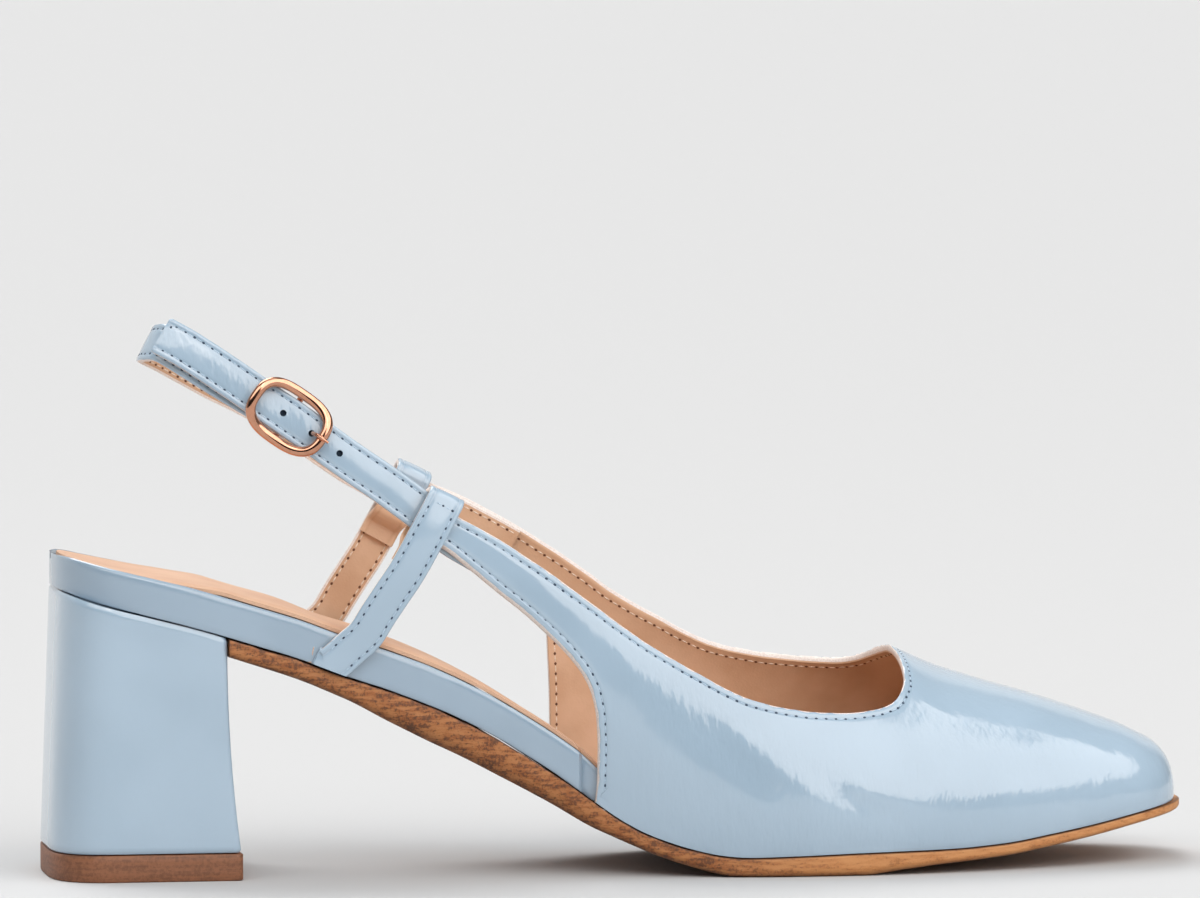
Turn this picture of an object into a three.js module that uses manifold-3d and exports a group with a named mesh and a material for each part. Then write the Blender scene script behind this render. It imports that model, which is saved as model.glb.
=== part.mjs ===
// A slingback sandal with a block heel, square toe and buckled strap: right shoe, millimetres, +Z up.
// +X runs to the toe and -Y to the outer (lateral) side. The origin is on the heel tip's flat underside.
import * as THREE from "three";
import { mergeVertices } from "three/addons/utils/BufferGeometryUtils.js";
import Module from "manifold-3d";

// Driving sizes of the last
const SHOE_LENGTH = 242.4; // back of the seat to tip of the toe
const HEEL_BACK = 16; // from the origin back to the back of the seat
const BALL_WIDTH = 71; // at the feather line, where the upper meets the sole
const SEAT_RISE = 57.3; // seat above ball, along the feather line
const TOE_SPRING = 8.8; // toe tip above ball, along the feather line
const BALL_HEIGHT = 4.2; // feather line above the floor at the ball
const INSTEP_RISE = 40.7; // top of the vamp above the feather line, at the throat
const TOE_ROUND = 17.4; // length over which the square toe rounds off
const SEAT_ROUND = 24; // the same at the back of the seat
const TOE_SQUARENESS = 3; // exponent of the toe's outline
const SEAT_SQUARENESS = 2.5; // and of the seat's
const SECTION_LIFT = 0.8; // exponent of a section's height

// Walls, layers and clearances
const CLEARANCE = 0.3; // between pieces that meet
const UPPER_WALL = 1.7;
const STRAP_THICKNESS = 1.6;
const STRAP_WIDTH = 8.3;
const POST_THICKNESS = 1.4;
const POST_WIDTH = 7.9;
const SOLE_THICKNESS = 4.3; // at the ball, before it is levelled
const SOLE_EDGE = 3.4; // height of the upright part of its edge
const SOLE_BEVEL = 2.2; // width of the slant from the edge down to the tread
const SOLE_MARGIN = 0.5; // the sole past the feather line, at the sides
const TOE_MARGIN = 1.2; // the same at the toe
const BAND_HEIGHT = 8.3; // wrapped edge of the insole board
const SOCK_THICKNESS = 1.2;
const LIP_WIDTH = 1.2; // of the board's edge round the sock
const PAD_RISE = 0.8; // the heel pad over the rest of the sock
const EDGE_ROUND = 0.9; // on the board's upper edge
const LEAST_SUNK = 0.1; // of the board's top inside its lip, where it is nearly flat

// Heel
const HEEL_FRONT = 22.2; // from the origin to the breast, at the floor
const BREAST_RAKE = 3.4; // the breast leans back by this much up to the seat
const HEEL_TIP_BACK = 17.7; // from the origin to the heel's back, at the floor
const HEEL_BACK_RAKE = 2.2; // the back leans forward by this much up to the seat
const HEEL_TIP_WIDTH = 46;
const HEEL_SEAT_WIDTH = 49.6;
const HEEL_ROUND = 13; // length over which the heel's back rounds off
const TOP_LIFT_HEIGHT = 5.7;

// Straps
const STRAP_RISE = 58; // middle of the strap over the feather line, behind the heel
const STRAP_SPREAD = 46; // between the middles of both straps at the loops
const STRAP_LEAN = 0.12; // rise of the strap's outward face over its run, at the sides
const BACK_LEAN = 0.4; // more of it behind the heel
const SLING_DROP = 1.6; // of the sling strap behind the buckle, below the strap over it
const HOLE_DIAMETER = 1.7;
const HOLE_PITCH = 7.3;
const HOLE_COUNT = 5;
const HOLE_FIRST = 5.9; // from the buckle's middle to the hole that holds the prong, towards the toe
const HOLE_AHEAD = 2; // holes on the other side of that one
const LOOP_SLACK = 2.4; // free height inside a loop, more than the strap's width
const FLAP_LENGTH = 6; // of a post's end, sewn down inside below the loop
const FLAP_SLOPE = 2.4; // over which that end comes back to the post
const POST_SETBACK = 1.2; // the inner post stands this much further back

// Buckle
const FRAME_LENGTH = 18.8;
const FRAME_HEIGHT = 13.6;
const FRAME_WIRE = 2.2; // diameter
const FRAME_DIP = 1.6; // its long sides below its ends
const BAR_DIAMETER = 1.4;
const PRONG_THICKNESS = 0.9;
const CHAPE_LENGTH = 13; // strap end folded back inside from the bar

// Steps along, across and round the pieces
const SOLE_STEP = 6;
const BOARD_STEP = 5;
const SOCK_ROWS = 8;
const END_STEPS = 7;
const RIB_STEPS = 1;
const RIB_ROWS = 9;
const BUCKLE_STRAP_STEPS = 34;
const SLING_STEPS = 64;
const POST_STEPS = 30;
const CROSSING_STEPS = 300;

// The last, a row per station from the seat's back to the toe. Along is a share of the shoe's length, centre,
// half, bulge and ridge of the ball width, and rise of the instep rise. Round and low are exponents.
const LAST = [
  { along: 0.0, centre: 0.0, half: 0.35, rise: 1.83, ridge: 0.03, bulge: 0.065, round: 0.8, low: 1.0 },
  { along: 0.1004, centre: 0.0, half: 0.356, rise: 1.83, ridge: 0.03, bulge: 0.065, round: 0.8, low: 1.0 },
  { along: 0.2509, centre: -0.002, half: 0.346, rise: 1.81, ridge: 0.03, bulge: 0.068, round: 0.8, low: 1.0 },
  { along: 0.3413, centre: -0.004, half: 0.333, rise: 1.78, ridge: 0.035, bulge: 0.075, round: 0.8, low: 1.0 },
  { along: 0.4115, centre: -0.01, half: 0.346, rise: 1.73, ridge: 0.04, bulge: 0.075, round: 0.85, low: 0.95 },
  { along: 0.4717, centre: -0.014, half: 0.382, rise: 1.67, ridge: 0.045, bulge: 0.06, round: 0.9, low: 0.9 },
  { along: 0.552, centre: -0.02, half: 0.441, rise: 1.56, ridge: 0.05, bulge: 0.035, round: 0.95, low: 0.7 },
  { along: 0.6223, centre: -0.017, half: 0.484, rise: 1.34, ridge: 0.058, bulge: 0.028, round: 1.0, low: 0.6 },
  { along: 0.7026, centre: 0.002, half: 0.502, rise: 1.105, ridge: 0.066, bulge: 0.026, round: 1.0, low: 0.6 },
  { along: 0.7488, centre: 0.014, half: 0.498, rise: 1.0, ridge: 0.07, bulge: 0.025, round: 0.98, low: 0.6 },
  { along: 0.7859, centre: 0.026, half: 0.486, rise: 0.897, ridge: 0.072, bulge: 0.024, round: 0.94, low: 0.6 },
  { along: 0.8261, centre: 0.036, half: 0.463, rise: 0.8, ridge: 0.072, bulge: 0.022, round: 0.9, low: 0.6 },
  { along: 0.8717, centre: 0.046, half: 0.43, rise: 0.683, ridge: 0.071, bulge: 0.02, round: 0.85, low: 0.6 },
  { along: 0.9159, centre: 0.053, half: 0.388, rise: 0.553, ridge: 0.069, bulge: 0.018, round: 0.82, low: 0.6 },
  { along: 0.9377, centre: 0.057, half: 0.362, rise: 0.482, ridge: 0.067, bulge: 0.016, round: 0.8, low: 0.6 },
  { along: 0.9548, centre: 0.06, half: 0.345, rise: 0.43, ridge: 0.066, bulge: 0.015, round: 0.79, low: 0.6 },
  { along: 0.9728, centre: 0.062, half: 0.327, rise: 0.385, ridge: 0.065, bulge: 0.015, round: 0.78, low: 0.6 },
  { along: 1.0, centre: 0.064, half: 0.3, rise: 0.36, ridge: 0.064, bulge: 0.014, round: 0.78, low: 0.6 },
];
// The last's bottom, as shares of the shoe's length, the seat's rise, the toe spring and the sole's thickness.
const BOTTOM = [
  { along: 0.0, arch: 1.0, spring: 0.0, sole: 0.95 },
  { along: 0.0321, arch: 0.955, spring: 0.0, sole: 0.95 },
  { along: 0.0758, arch: 0.9075, spring: 0.0, sole: 0.95 },
  { along: 0.1194, arch: 0.859, spring: 0.0, sole: 0.95 },
  { along: 0.1626, arch: 0.802, spring: 0.0, sole: 0.97 },
  { along: 0.2068, arch: 0.743, spring: 0.0, sole: 1.03 },
  { along: 0.2444, arch: 0.682, spring: 0.0, sole: 1.12 },
  { along: 0.2891, arch: 0.617, spring: 0.0, sole: 1.58 },
  { along: 0.3307, arch: 0.547, spring: 0.0, sole: 1.82 },
  { along: 0.3709, arch: 0.463, spring: 0.0, sole: 1.84 },
  { along: 0.405, arch: 0.377, spring: 0.0, sole: 1.72 },
  { along: 0.4281, arch: 0.314, spring: 0.0, sole: 1.6 },
  { along: 0.4577, arch: 0.224, spring: 0.0, sole: 1.4 },
  { along: 0.4873, arch: 0.135, spring: 0.0, sole: 1.0 },
  { along: 0.5084, arch: 0.087, spring: 0.0, sole: 0.88 },
  { along: 0.5295, arch: 0.053, spring: 0.0, sole: 0.88 },
  { along: 0.551, arch: 0.026, spring: 0.0, sole: 0.9 },
  { along: 0.5731, arch: 0.007, spring: 0.0, sole: 0.98 },
  { along: 0.5947, arch: 0.0, spring: 0.0, sole: 1.1 },
  { along: 0.6404, arch: 0.0, spring: 0.03, sole: 1.2 },
  { along: 0.6855, arch: 0.0, spring: 0.07, sole: 1.2 },
  { along: 0.7307, arch: 0.0, spring: 0.095, sole: 0.95 },
  { along: 0.7779, arch: 0.0, spring: 0.12, sole: 0.73 },
  { along: 0.8251, arch: 0.0, spring: 0.2, sole: 0.66 },
  { along: 0.8712, arch: 0.0, spring: 0.38, sole: 0.64 },
  { along: 0.9188, arch: 0.0, spring: 0.6, sole: 0.6 },
  { along: 0.966, arch: 0.0, spring: 0.85, sole: 0.56 },
  { along: 1.0, arch: 0.0, spring: 1.0, sole: 0.52 },
];
// Ribs of the upper, from the quarter's tab to the toe: each runs from the lower edge (strap, cut-out, feather line)
// to the upper edge (topline, throat, ridge). Along is a share of the length, the heights above the feather line are
// shares of the instep rise, lift is how much higher the inner side's edges lie, and back how much further back its
// lower end is. The ridge is reached where the top is null.
const RIBS = [
  { lowAlong: 0.3172, low: 0.882, topAlong: 0.3322, top: 1.088, lift: 0.069, back: 0.0 },
  { lowAlong: 0.3342, low: 0.865, topAlong: 0.3493, top: 1.044, lift: 0.113, back: 0.0 },
  { lowAlong: 0.3588, low: 0.818, topAlong: 0.3814, top: 1.039, lift: 0.14, back: 0.0 },
  { lowAlong: 0.3804, low: 0.779, topAlong: 0.403, top: 1.032, lift: 0.157, back: 0.0 },
  { lowAlong: 0.4015, low: 0.754, topAlong: 0.4246, top: 1.027, lift: 0.172, back: 0.0 },
  { lowAlong: 0.4216, low: 0.72, topAlong: 0.4462, top: 1.022, lift: 0.187, back: 0.0 },
  { lowAlong: 0.4386, low: 0.688, topAlong: 0.4682, top: 1.021, lift: 0.199, back: 0.0 },
  { lowAlong: 0.4532, low: 0.639, topAlong: 0.4898, top: 1.012, lift: 0.206, back: 0.003 },
  { lowAlong: 0.4622, low: 0.558, topAlong: 0.5114, top: 0.988, lift: 0.201, back: 0.0065 },
  { lowAlong: 0.4662, low: 0.435, topAlong: 0.533, top: 0.956, lift: 0.202, back: 0.0095 },
  { lowAlong: 0.4672, low: 0.283, topAlong: 0.5571, top: 0.914, lift: 0.206, back: 0.0095 },
  { lowAlong: 0.4667, low: 0.118, topAlong: 0.5817, top: 0.857, lift: 0.206, back: 0.0095 },
  { lowAlong: 0.4647, low: 0.0, topAlong: 0.6047, top: 0.806, lift: 0.203, back: 0.0095 },
  { lowAlong: 0.5074, low: 0.0, topAlong: 0.6313, top: 0.764, lift: 0.201, back: 0.004 },
  { lowAlong: 0.5611, low: 0.0, topAlong: 0.6599, top: 0.735, lift: 0.198, back: 0.0 },
  { lowAlong: 0.6148, low: 0.0, topAlong: 0.689, top: 0.723, lift: 0.188, back: 0.0 },
  { lowAlong: 0.6685, low: 0.0, topAlong: 0.7126, top: 0.732, lift: 0.171, back: 0.0 },
  { lowAlong: 0.7136, low: 0.0, topAlong: 0.7302, top: 0.764, lift: 0.153, back: 0.0 },
  { lowAlong: 0.7508, low: 0.0, topAlong: 0.7397, top: 0.816, lift: 0.13, back: 0.0 },
  { lowAlong: 0.7839, low: 0.0, topAlong: 0.7453, top: 0.872, lift: 0.098, back: 0.0 },
  { lowAlong: 0.813, low: 0.0, topAlong: 0.7476, top: 0.936, lift: 0.047, back: 0.0 },
  { lowAlong: 0.8376, low: 0.0, topAlong: 0.7484, top: 0.98, lift: 0.012, back: 0.0 },
  { lowAlong: 0.8602, low: 0.0, topAlong: 0.7488, top: null, lift: 0.0, back: 0.0 },
  { lowAlong: 0.8828, low: 0.0, topAlong: 0.7899, top: null, lift: 0.0, back: 0.0 },
  { lowAlong: 0.9047, low: 0.0, topAlong: 0.8331, top: null, lift: 0.0, back: 0.0 },
  { lowAlong: 0.9256, low: 0.0, topAlong: 0.8742, top: null, lift: 0.0, back: 0.0 },
  { lowAlong: 0.945, low: 0.0, topAlong: 0.9105, top: null, lift: 0.0, back: 0.0 },
  { lowAlong: 0.9606, low: 0.0, topAlong: 0.9387, top: null, lift: 0.0, back: 0.0 },
  { lowAlong: 0.9742, low: 0.0, topAlong: 0.9621, top: null, lift: 0.0, back: 0.0 },
  { lowAlong: 0.9854, low: 0.0, topAlong: 0.9786, top: null, lift: 0.0, back: 0.0 },
  { lowAlong: 0.9927, low: 0.0, topAlong: 0.99, top: null, lift: 0.0, back: 0.0 },
  { lowAlong: 0.9976, low: 0.0, topAlong: 0.9968, top: null, lift: 0.0, back: 0.0 },
  { lowAlong: 1.0, low: 0.0, topAlong: 1.0, top: null, lift: 0.0, back: 0.0 },
];
// Height of the insole board, as a share of the band height, how far it lies inside the upper, and how deep its top
// is sunk inside its edge for the sock, as a share of the sock's thickness.
const BOARD = [
  { along: 0.0, height: 0.84, inside: 0, sunk: 1.1 },
  { along: 0.012, height: 0.92, inside: 0, sunk: 1.2 },
  { along: 0.033, height: 0.96, inside: 0, sunk: 1.25 },
  { along: 0.075, height: 0.985, inside: 0, sunk: 1.2 },
  { along: 0.11, height: 1.0, inside: 0, sunk: 0.8 },
  { along: 0.15, height: 1.0, inside: 0, sunk: 0.0 },
  { along: 0.4502, height: 1.0, inside: 0, sunk: 0.0 },
  { along: 0.4542, height: 0.99, inside: 1, sunk: 0.0 },
  { along: 0.48, height: 0.78, inside: 1, sunk: 0.0 },
  { along: 0.512, height: 0.45, inside: 1, sunk: 0.0 },
  { along: 0.542, height: 0.35, inside: 1, sunk: 0.0 },
  { along: 1.0, height: 0.33, inside: 1, sunk: 0.0 },
];
// The heel pad's rise over the sock.
const PAD = [
  { along: 0.0, rise: 0.0 },
  { along: 0.06, rise: 0.0 },
  { along: 0.1, rise: 0.6 },
  { along: 0.16, rise: 0.5 },
  { along: 0.2, rise: 1.0 },
  { along: 0.235, rise: 0.6 },
  { along: 0.27, rise: 1.0 },
  { along: 0.36, rise: 0.6 },
  { along: 0.44, rise: 0.0 },
  { along: 1.0, rise: 0.0 },
];
// Middle line of a post from the sole up to the top of its loop, rises as shares of the strap's rise.
const POST = [
  { along: 0.2168, rise: -0.05 },
  { along: 0.2278, rise: 0.005 },
  { along: 0.2524, rise: 0.124 },
  { along: 0.2625, rise: 0.176 },
  { along: 0.274, rise: 0.267 },
  { along: 0.2861, rise: 0.36 },
  { along: 0.2996, rise: 0.464 },
  { along: 0.3172, rise: 0.622 },
  { along: 0.3347, rise: 0.783 },
  { along: 0.3377, rise: 0.815 },
  { along: 0.3438, rise: 0.88 },
];
// Where the straps lie inside the quarters and loops, rises as shares of the strap's rise.
const LATERAL_TUCK = [
  { along: 0.3965, rise: 0.629 },
  { along: 0.3714, rise: 0.64 },
  { along: 0.3408, rise: 0.655 },
  { along: 0.3257, rise: 0.683 },
  { along: 0.3096, rise: 0.71 },
];
const MEDIAL_TUCK = [
  { along: 0.4216, rise: 0.757 },
  { along: 0.4, rise: 0.748 },
  { along: 0.3764, rise: 0.74 },
  { along: 0.3423, rise: 0.74 },
  { along: 0.3257, rise: 0.74 },
  { along: 0.3091, rise: 0.74 },
];
// The straps behind the loops: out is a share of half the strap spread, below zero on the outer side.
const LATERAL_RUN = [
  { along: 0.2856, rise: 0.741, out: -0.98 },
  { along: 0.2514, rise: 0.791, out: -0.965 },
  { along: 0.2248, rise: 0.829, out: -0.95 },
  { along: 0.1997, rise: 0.867, out: -0.925 },
  { along: 0.1772, rise: 0.902, out: -0.885 },
  { along: 0.1541, rise: 0.94, out: -0.83 },
  { along: 0.1139, rise: 1.002, out: -0.705 },
  { along: 0.0913, rise: 1.031, out: -0.61 },
];
const MEDIAL_RUN = [
  { along: 0.2911, rise: 0.75, out: 0.975 },
  { along: 0.277, rise: 0.762, out: 0.955 },
  { along: 0.2354, rise: 0.82, out: 0.87 },
  { along: 0.1917, rise: 0.874, out: 0.73 },
  { along: 0.147, rise: 0.912, out: 0.56 },
  { along: 0.124, rise: 0.935, out: 0.46 },
  { along: 0.104, rise: 0.958, out: 0.34 },
  { along: 0.0905, rise: 0.971, out: 0.17 },
  { along: 0.086, rise: 0.98, out: -0.06 },
  { along: 0.0873, rise: 0.991, out: -0.28 },
  { along: 0.0955, rise: 1.0, out: -0.46 },
];
const CHAPE_FROM = 0.1135; // along, where the sling strap starts to follow the buckle strap
const BUCKLE_AT = 0.199; // along, the buckle's middle on the strap
const CHAPE_THICKNESS = 1.0; // of the strap end where it turns round the bar

const PATENT = { color: 0xb3c8d8, roughness: 0.18, metalness: 0 };
const LEATHER = { color: 0xc98f55, roughness: 0.6, metalness: 0 };
const LINING = { color: 0xcf9f80, roughness: 0.6, metalness: 0 };
const RUBBER = { color: 0x8a6042, roughness: 0.7, metalness: 0 };
const ROSE_GOLD = { color: 0xd9a184, roughness: 0.2, metalness: 1 };

const LATERAL = -1;
const MEDIAL = 1;
const TOE_TIP = SHOE_LENGTH - HEEL_BACK;

// A value of a table's column at a place along the shoe: smooth between rows, and never past either row's value.
function read(table, column, share, key = "along") {
  const last = table.length - 1;
  if (share <= table[0][key]) return table[0][column];
  if (share >= table[last][key]) return table[last][column];
  const slope = (i) => {
    if (i < 0 || i >= last) return 0;
    return (table[i + 1][column] - table[i][column]) / (table[i + 1][key] - table[i][key]);
  };
  const tangent = (i) => {
    if (i === 0 || i === last) return slope(Math.min(i, last - 1));
    const before = slope(i - 1);
    const after = slope(i);
    return before * after <= 0 ? 0 : (2 * before * after) / (before + after);
  };
  let i = 0;
  while (share > table[i + 1][key]) i += 1;
  const span = table[i + 1][key] - table[i][key];
  const t = (share - table[i][key]) / span;
  const a = table[i][column];
  const b = table[i + 1][column];
  const rise = tangent(i) * span * (t * t * t - 2 * t * t + t) + tangent(i + 1) * span * (t * t * t - t * t);
  return a + (b - a) * (3 * t * t - 2 * t * t * t) + rise;
}

const shareAt = (x) => (x + HEEL_BACK) / SHOE_LENGTH;
const xAt = (share) => share * SHOE_LENGTH - HEEL_BACK;

// Height of the feather line, which every piece of the bottom follows.
function feather(x) {
  const share = shareAt(x);
  return BALL_HEIGHT + SEAT_RISE * read(BOTTOM, "arch", share) + TOE_SPRING * read(BOTTOM, "spring", share);
}

// How far the outline has closed in at x, 1 on the straight and 0 at the very end.
function closing(x, inset) {
  const toeStart = TOE_TIP - TOE_ROUND;
  const seatStart = SEAT_ROUND - HEEL_BACK;
  if (x > toeStart) {
    const u = Math.min(1, (x - toeStart) / (TOE_ROUND - inset));
    return Math.pow(1 - Math.pow(u, TOE_SQUARENESS), 1 / TOE_SQUARENESS);
  }
  if (x < seatStart) {
    const u = Math.min(1, (seatStart - x) / (SEAT_ROUND - inset));
    return Math.pow(1 - Math.pow(u, SEAT_SQUARENESS), 1 / SEAT_SQUARENESS);
  }
  return 1;
}

// The outline's edge at x on one side, moved inwards by inset, and by endInset at both ends.
function edge(x, side, inset, endInset = inset) {
  const share = shareAt(x);
  const centre = BALL_WIDTH * read(LAST, "centre", share);
  const half = BALL_WIDTH * read(LAST, "half", share) - inset;
  return centre + side * half * closing(x, endInset);
}

// A point of the last's section at x, turn from 0 at the feather line to 1 at the ridge.
function sectionPoint(x, side, turn, inset) {
  const share = shareAt(x);
  const angle = (turn * Math.PI) / 2;
  const closed = closing(x, inset);
  const ridge = BALL_WIDTH * read(LAST, "ridge", share);
  const bulge = BALL_WIDTH * read(LAST, "bulge", share) * closed;
  const round = read(LAST, "round", share);
  const foot = edge(x, side, inset);
  const rise = (INSTEP_RISE * read(LAST, "rise", share) - inset) * closed;
  const swell = side * bulge * Math.sin(Math.PI * Math.pow(turn, read(LAST, "low", share)));
  const across = Math.pow(Math.max(0, Math.cos(angle)), round);
  const y = closed > 0 ? ridge + (foot - ridge) * across + swell : foot;
  return new THREE.Vector3(x, y, feather(x) + rise * Math.pow(Math.sin(angle), SECTION_LIFT));
}

// The turn at which a section reaches a height above the feather line.
function turnAt(x, height) {
  const full = INSTEP_RISE * read(LAST, "rise", shareAt(x));
  const sine = Math.pow(Math.min(1, Math.max(0, height / full)), 1 / SECTION_LIFT);
  return (Math.asin(sine) * 2) / Math.PI;
}

// A point at a depth under the last's surface, and the outward direction there.
function onLast(x, height, side, depth) {
  const step = 0.5;
  const here = sectionPoint(x, side, turnAt(x, height), 0);
  const ahead = sectionPoint(x + step, side, turnAt(x + step, height + feather(x) - feather(x + step)), 0);
  const above = sectionPoint(x, side, turnAt(x, height + step), 0);
  const out = ahead.sub(here).cross(above.sub(here)).normalize();
  if (out.y * side < 0) out.negate();
  return { point: here.addScaledVector(out, -depth), out };
}

// Closed body from points and triangles, with points in the same place joined.
function body(points, triangles) {
  const geometry = new THREE.BufferGeometry();
  geometry.setAttribute("position", new THREE.Float32BufferAttribute(points.flatMap((p) => [p.x, p.y, p.z]), 3));
  geometry.setIndex(triangles.flat());
  const merged = mergeVertices(geometry, 1e-4);
  const index = [...merged.index.array];
  const kept = [];
  for (let i = 0; i < index.length; i += 3) {
    const [a, b, c] = index.slice(i, i + 3);
    if (a !== b && b !== c && a !== c) kept.push(a, b, c);
  }
  merged.setIndex(kept);
  merged.computeVertexNormals();
  return merged;
}

// Skin over rings of equally many points, with a flat fan over each end.
function loft(rings) {
  const points = rings.flat();
  const count = rings[0].length;
  const triangles = [];
  for (let i = 0; i + 1 < rings.length; i += 1) {
    for (let j = 0; j < count; j += 1) {
      const a = i * count + j;
      const b = i * count + ((j + 1) % count);
      triangles.push([a, b, b + count], [a, b + count, a + count]);
    }
  }
  for (const [start, turned] of [[0, true], [(rings.length - 1) * count, false]]) {
    const middle = new THREE.Vector3();
    for (let j = 0; j < count; j += 1) middle.addScaledVector(points[start + j], 1 / count);
    points.push(middle);
    const hub = points.length - 1;
    for (let j = 0; j < count; j += 1) {
      const a = start + j;
      const b = start + ((j + 1) % count);
      triangles.push(turned ? [hub, b, a] : [hub, a, b]);
    }
  }
  return body(points, triangles);
}

// Stations along the shoe, closer together where the outline rounds off.
function stations(from, to, step, inset, extra = []) {
  const list = [...extra];
  const seatStart = SEAT_ROUND - HEEL_BACK;
  const toeStart = TOE_TIP - TOE_ROUND;
  const arcSteps = END_STEPS;
  const arcEnd = 0.97; // the last arc station stops just short of the tip
  if (from < seatStart) {
    for (let i = arcSteps; i > 0; i -= 1) {
      list.push(seatStart - (seatStart - from) * Math.sin(((i / arcSteps) * arcEnd * Math.PI) / 2));
    }
  }
  const start = Math.max(from, seatStart);
  const end = Math.min(to, toeStart);
  const count = Math.round((end - start) / step);
  for (let i = 0; i <= count; i += 1) list.push(start + ((end - start) * i) / count);
  if (to > toeStart) {
    for (let i = 1; i <= arcSteps; i += 1) {
      list.push(toeStart + (TOE_ROUND - inset) * Math.sin(((i / arcSteps) * arcEnd * Math.PI) / 2));
    }
  }
  return list.sort((a, b) => a - b);
}

// Outsole: upright edge, slanted underside edge, flat tread, planed level where it stands.
function makeOutsole() {
  const back = HEEL_FRONT - BREAST_RAKE + CLEARANCE;
  const rings = stations(back, TOE_TIP + TOE_MARGIN, SOLE_STEP, -TOE_MARGIN).map((x) => {
    const top = feather(x) - CLEARANCE;
    const full = SOLE_THICKNESS * read(BOTTOM, "sole", shareAt(x));
    const tread = Math.max(0, feather(x) - full);
    const thick = top - tread;
    const left = edge(x, LATERAL, -SOLE_MARGIN, -TOE_MARGIN);
    const right = edge(x, MEDIAL, -SOLE_MARGIN, -TOE_MARGIN);
    const slant = Math.min(SOLE_BEVEL, (right - left) / 4);
    const upright = thick * Math.min(0.62, SOLE_EDGE / full);
    const at = (y, z) => new THREE.Vector3(x, y, z);
    return [
      at(left, top),
      at(left, top - upright),
      at(left + slant * 0.35, tread + (thick - upright) * 0.3),
      at(left + slant, tread),
      at(right - slant, tread),
      at(right - slant * 0.35, tread + (thick - upright) * 0.3),
      at(right, top - upright),
      at(right, top),
    ];
  });
  return loft(rings);
}

// Insole board with its wrapped edge: full height as the band, thin and narrower inside the upper.
const BOARD_STEPS_IN = BOARD.filter((row, i) => i > 0 && row.inside !== BOARD[i - 1].inside).flatMap((row) => {
  return [BOARD[BOARD.indexOf(row) - 1], row].map((end) => xAt(end.along));
});
function boardInset(x) {
  return (UPPER_WALL + CLEARANCE) * read(BOARD, "inside", shareAt(x));
}
function boardTop(x) {
  return feather(x) + BAND_HEIGHT * read(BOARD, "height", shareAt(x));
}
// The level on which the sock lies.
function boardFloor(x) {
  const sunk = SOCK_THICKNESS * read(BOARD, "sunk", shareAt(x));
  return boardTop(x) - Math.max(LEAST_SUNK, sunk);
}
function makeFootbed() {
  const inside = UPPER_WALL + CLEARANCE;
  const rings = stations(-HEEL_BACK, TOE_TIP - inside, BOARD_STEP, inside, BOARD_STEPS_IN).map((x) => {
    const top = boardTop(x);
    const bottom = feather(x);
    const left = edge(x, LATERAL, boardInset(x));
    const right = edge(x, MEDIAL, boardInset(x));
    const round = Math.min(EDGE_ROUND, (right - left) / 8);
    const lip = Math.max(round, Math.min(LIP_WIDTH, (right - left) / 6));
    const floor = boardFloor(x);
    const at = (y, z) => new THREE.Vector3(x, y, z);
    return [
      at(left, bottom),
      at(right, bottom),
      at(right, top - round),
      at(right - round * 0.3, top - round * 0.3),
      at(right - round * 0.9, top),
      at(right - lip, top),
      at(right - lip, floor),
      at(left + lip, floor),
      at(left + lip, top),
      at(left + round * 0.9, top),
      at(left + round * 0.3, top - round * 0.3),
      at(left, top - round),
    ];
  });
  return loft(rings);
}

// Sock on the board, domed over the heel pad.
function makeSock() {
  const inset = LIP_WIDTH + CLEARANCE;
  const inside = UPPER_WALL + CLEARANCE + inset;
  const rings = stations(inset - HEEL_BACK, TOE_TIP - inside, BOARD_STEP, inside, BOARD_STEPS_IN).map((x) => {
    const bottom = boardFloor(x) + CLEARANCE;
    const left = edge(x, LATERAL, boardInset(x) + inset);
    const right = edge(x, MEDIAL, boardInset(x) + inset);
    const dome = PAD_RISE * read(PAD, "rise", shareAt(x));
    const ring = [new THREE.Vector3(x, left, bottom), new THREE.Vector3(x, right, bottom)];
    for (let i = 0; i <= SOCK_ROWS; i += 1) {
      const across = i / SOCK_ROWS;
      const bump = dome * Math.pow(Math.sin(across * Math.PI), 0.7);
      ring.push(new THREE.Vector3(x, right + (left - right) * across, bottom + SOCK_THICKNESS + bump));
    }
    return ring;
  });
  return loft(rings);
}

// Outline of the heel in plan between breast and back, as a closed ring at one level.
function heelRing(front, back, width, height) {
  const arcSteps = 9;
  const half = width / 2;
  const corner = 1.2; // radius at the breast's corners
  const start = HEEL_ROUND - back;
  const sideRow = [];
  sideRow.push([front, half - corner], [front - corner * 0.3, half - corner * 0.3], [front - corner, half]);
  sideRow.push([start + (front - start) * 0.5, half]);
  for (let i = 0; i <= arcSteps; i += 1) {
    const angle = (i / arcSteps) * (Math.PI / 2);
    const x = start - HEEL_ROUND * Math.pow(Math.sin(angle), 0.8);
    sideRow.push([x, half * Math.pow(Math.max(0, Math.cos(angle)), 0.55)]);
  }
  const other = sideRow.slice(0, -1).reverse().map(([x, y]) => [x, -y]);
  return [...sideRow, ...other].map(([x, y]) => new THREE.Vector3(x, y, height(x)));
}

function makeHeel() {
  const levels = [0, 0.12, 0.3, 0.5, 0.7, 0.88, 1];
  const base = TOP_LIFT_HEIGHT + CLEARANCE;
  const rings = levels.map((level) => {
    const flare = Math.pow(1 - level, 2);
    const front = HEEL_FRONT - BREAST_RAKE * (1 - flare * (1 - base / SEAT_RISE));
    const back = HEEL_TIP_BACK - HEEL_BACK_RAKE * level;
    const width = HEEL_TIP_WIDTH + (HEEL_SEAT_WIDTH - HEEL_TIP_WIDTH) * level;
    return heelRing(front, back, width, (x) => base + (feather(x) - CLEARANCE - base) * level);
  });
  return loft(rings);
}

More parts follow.
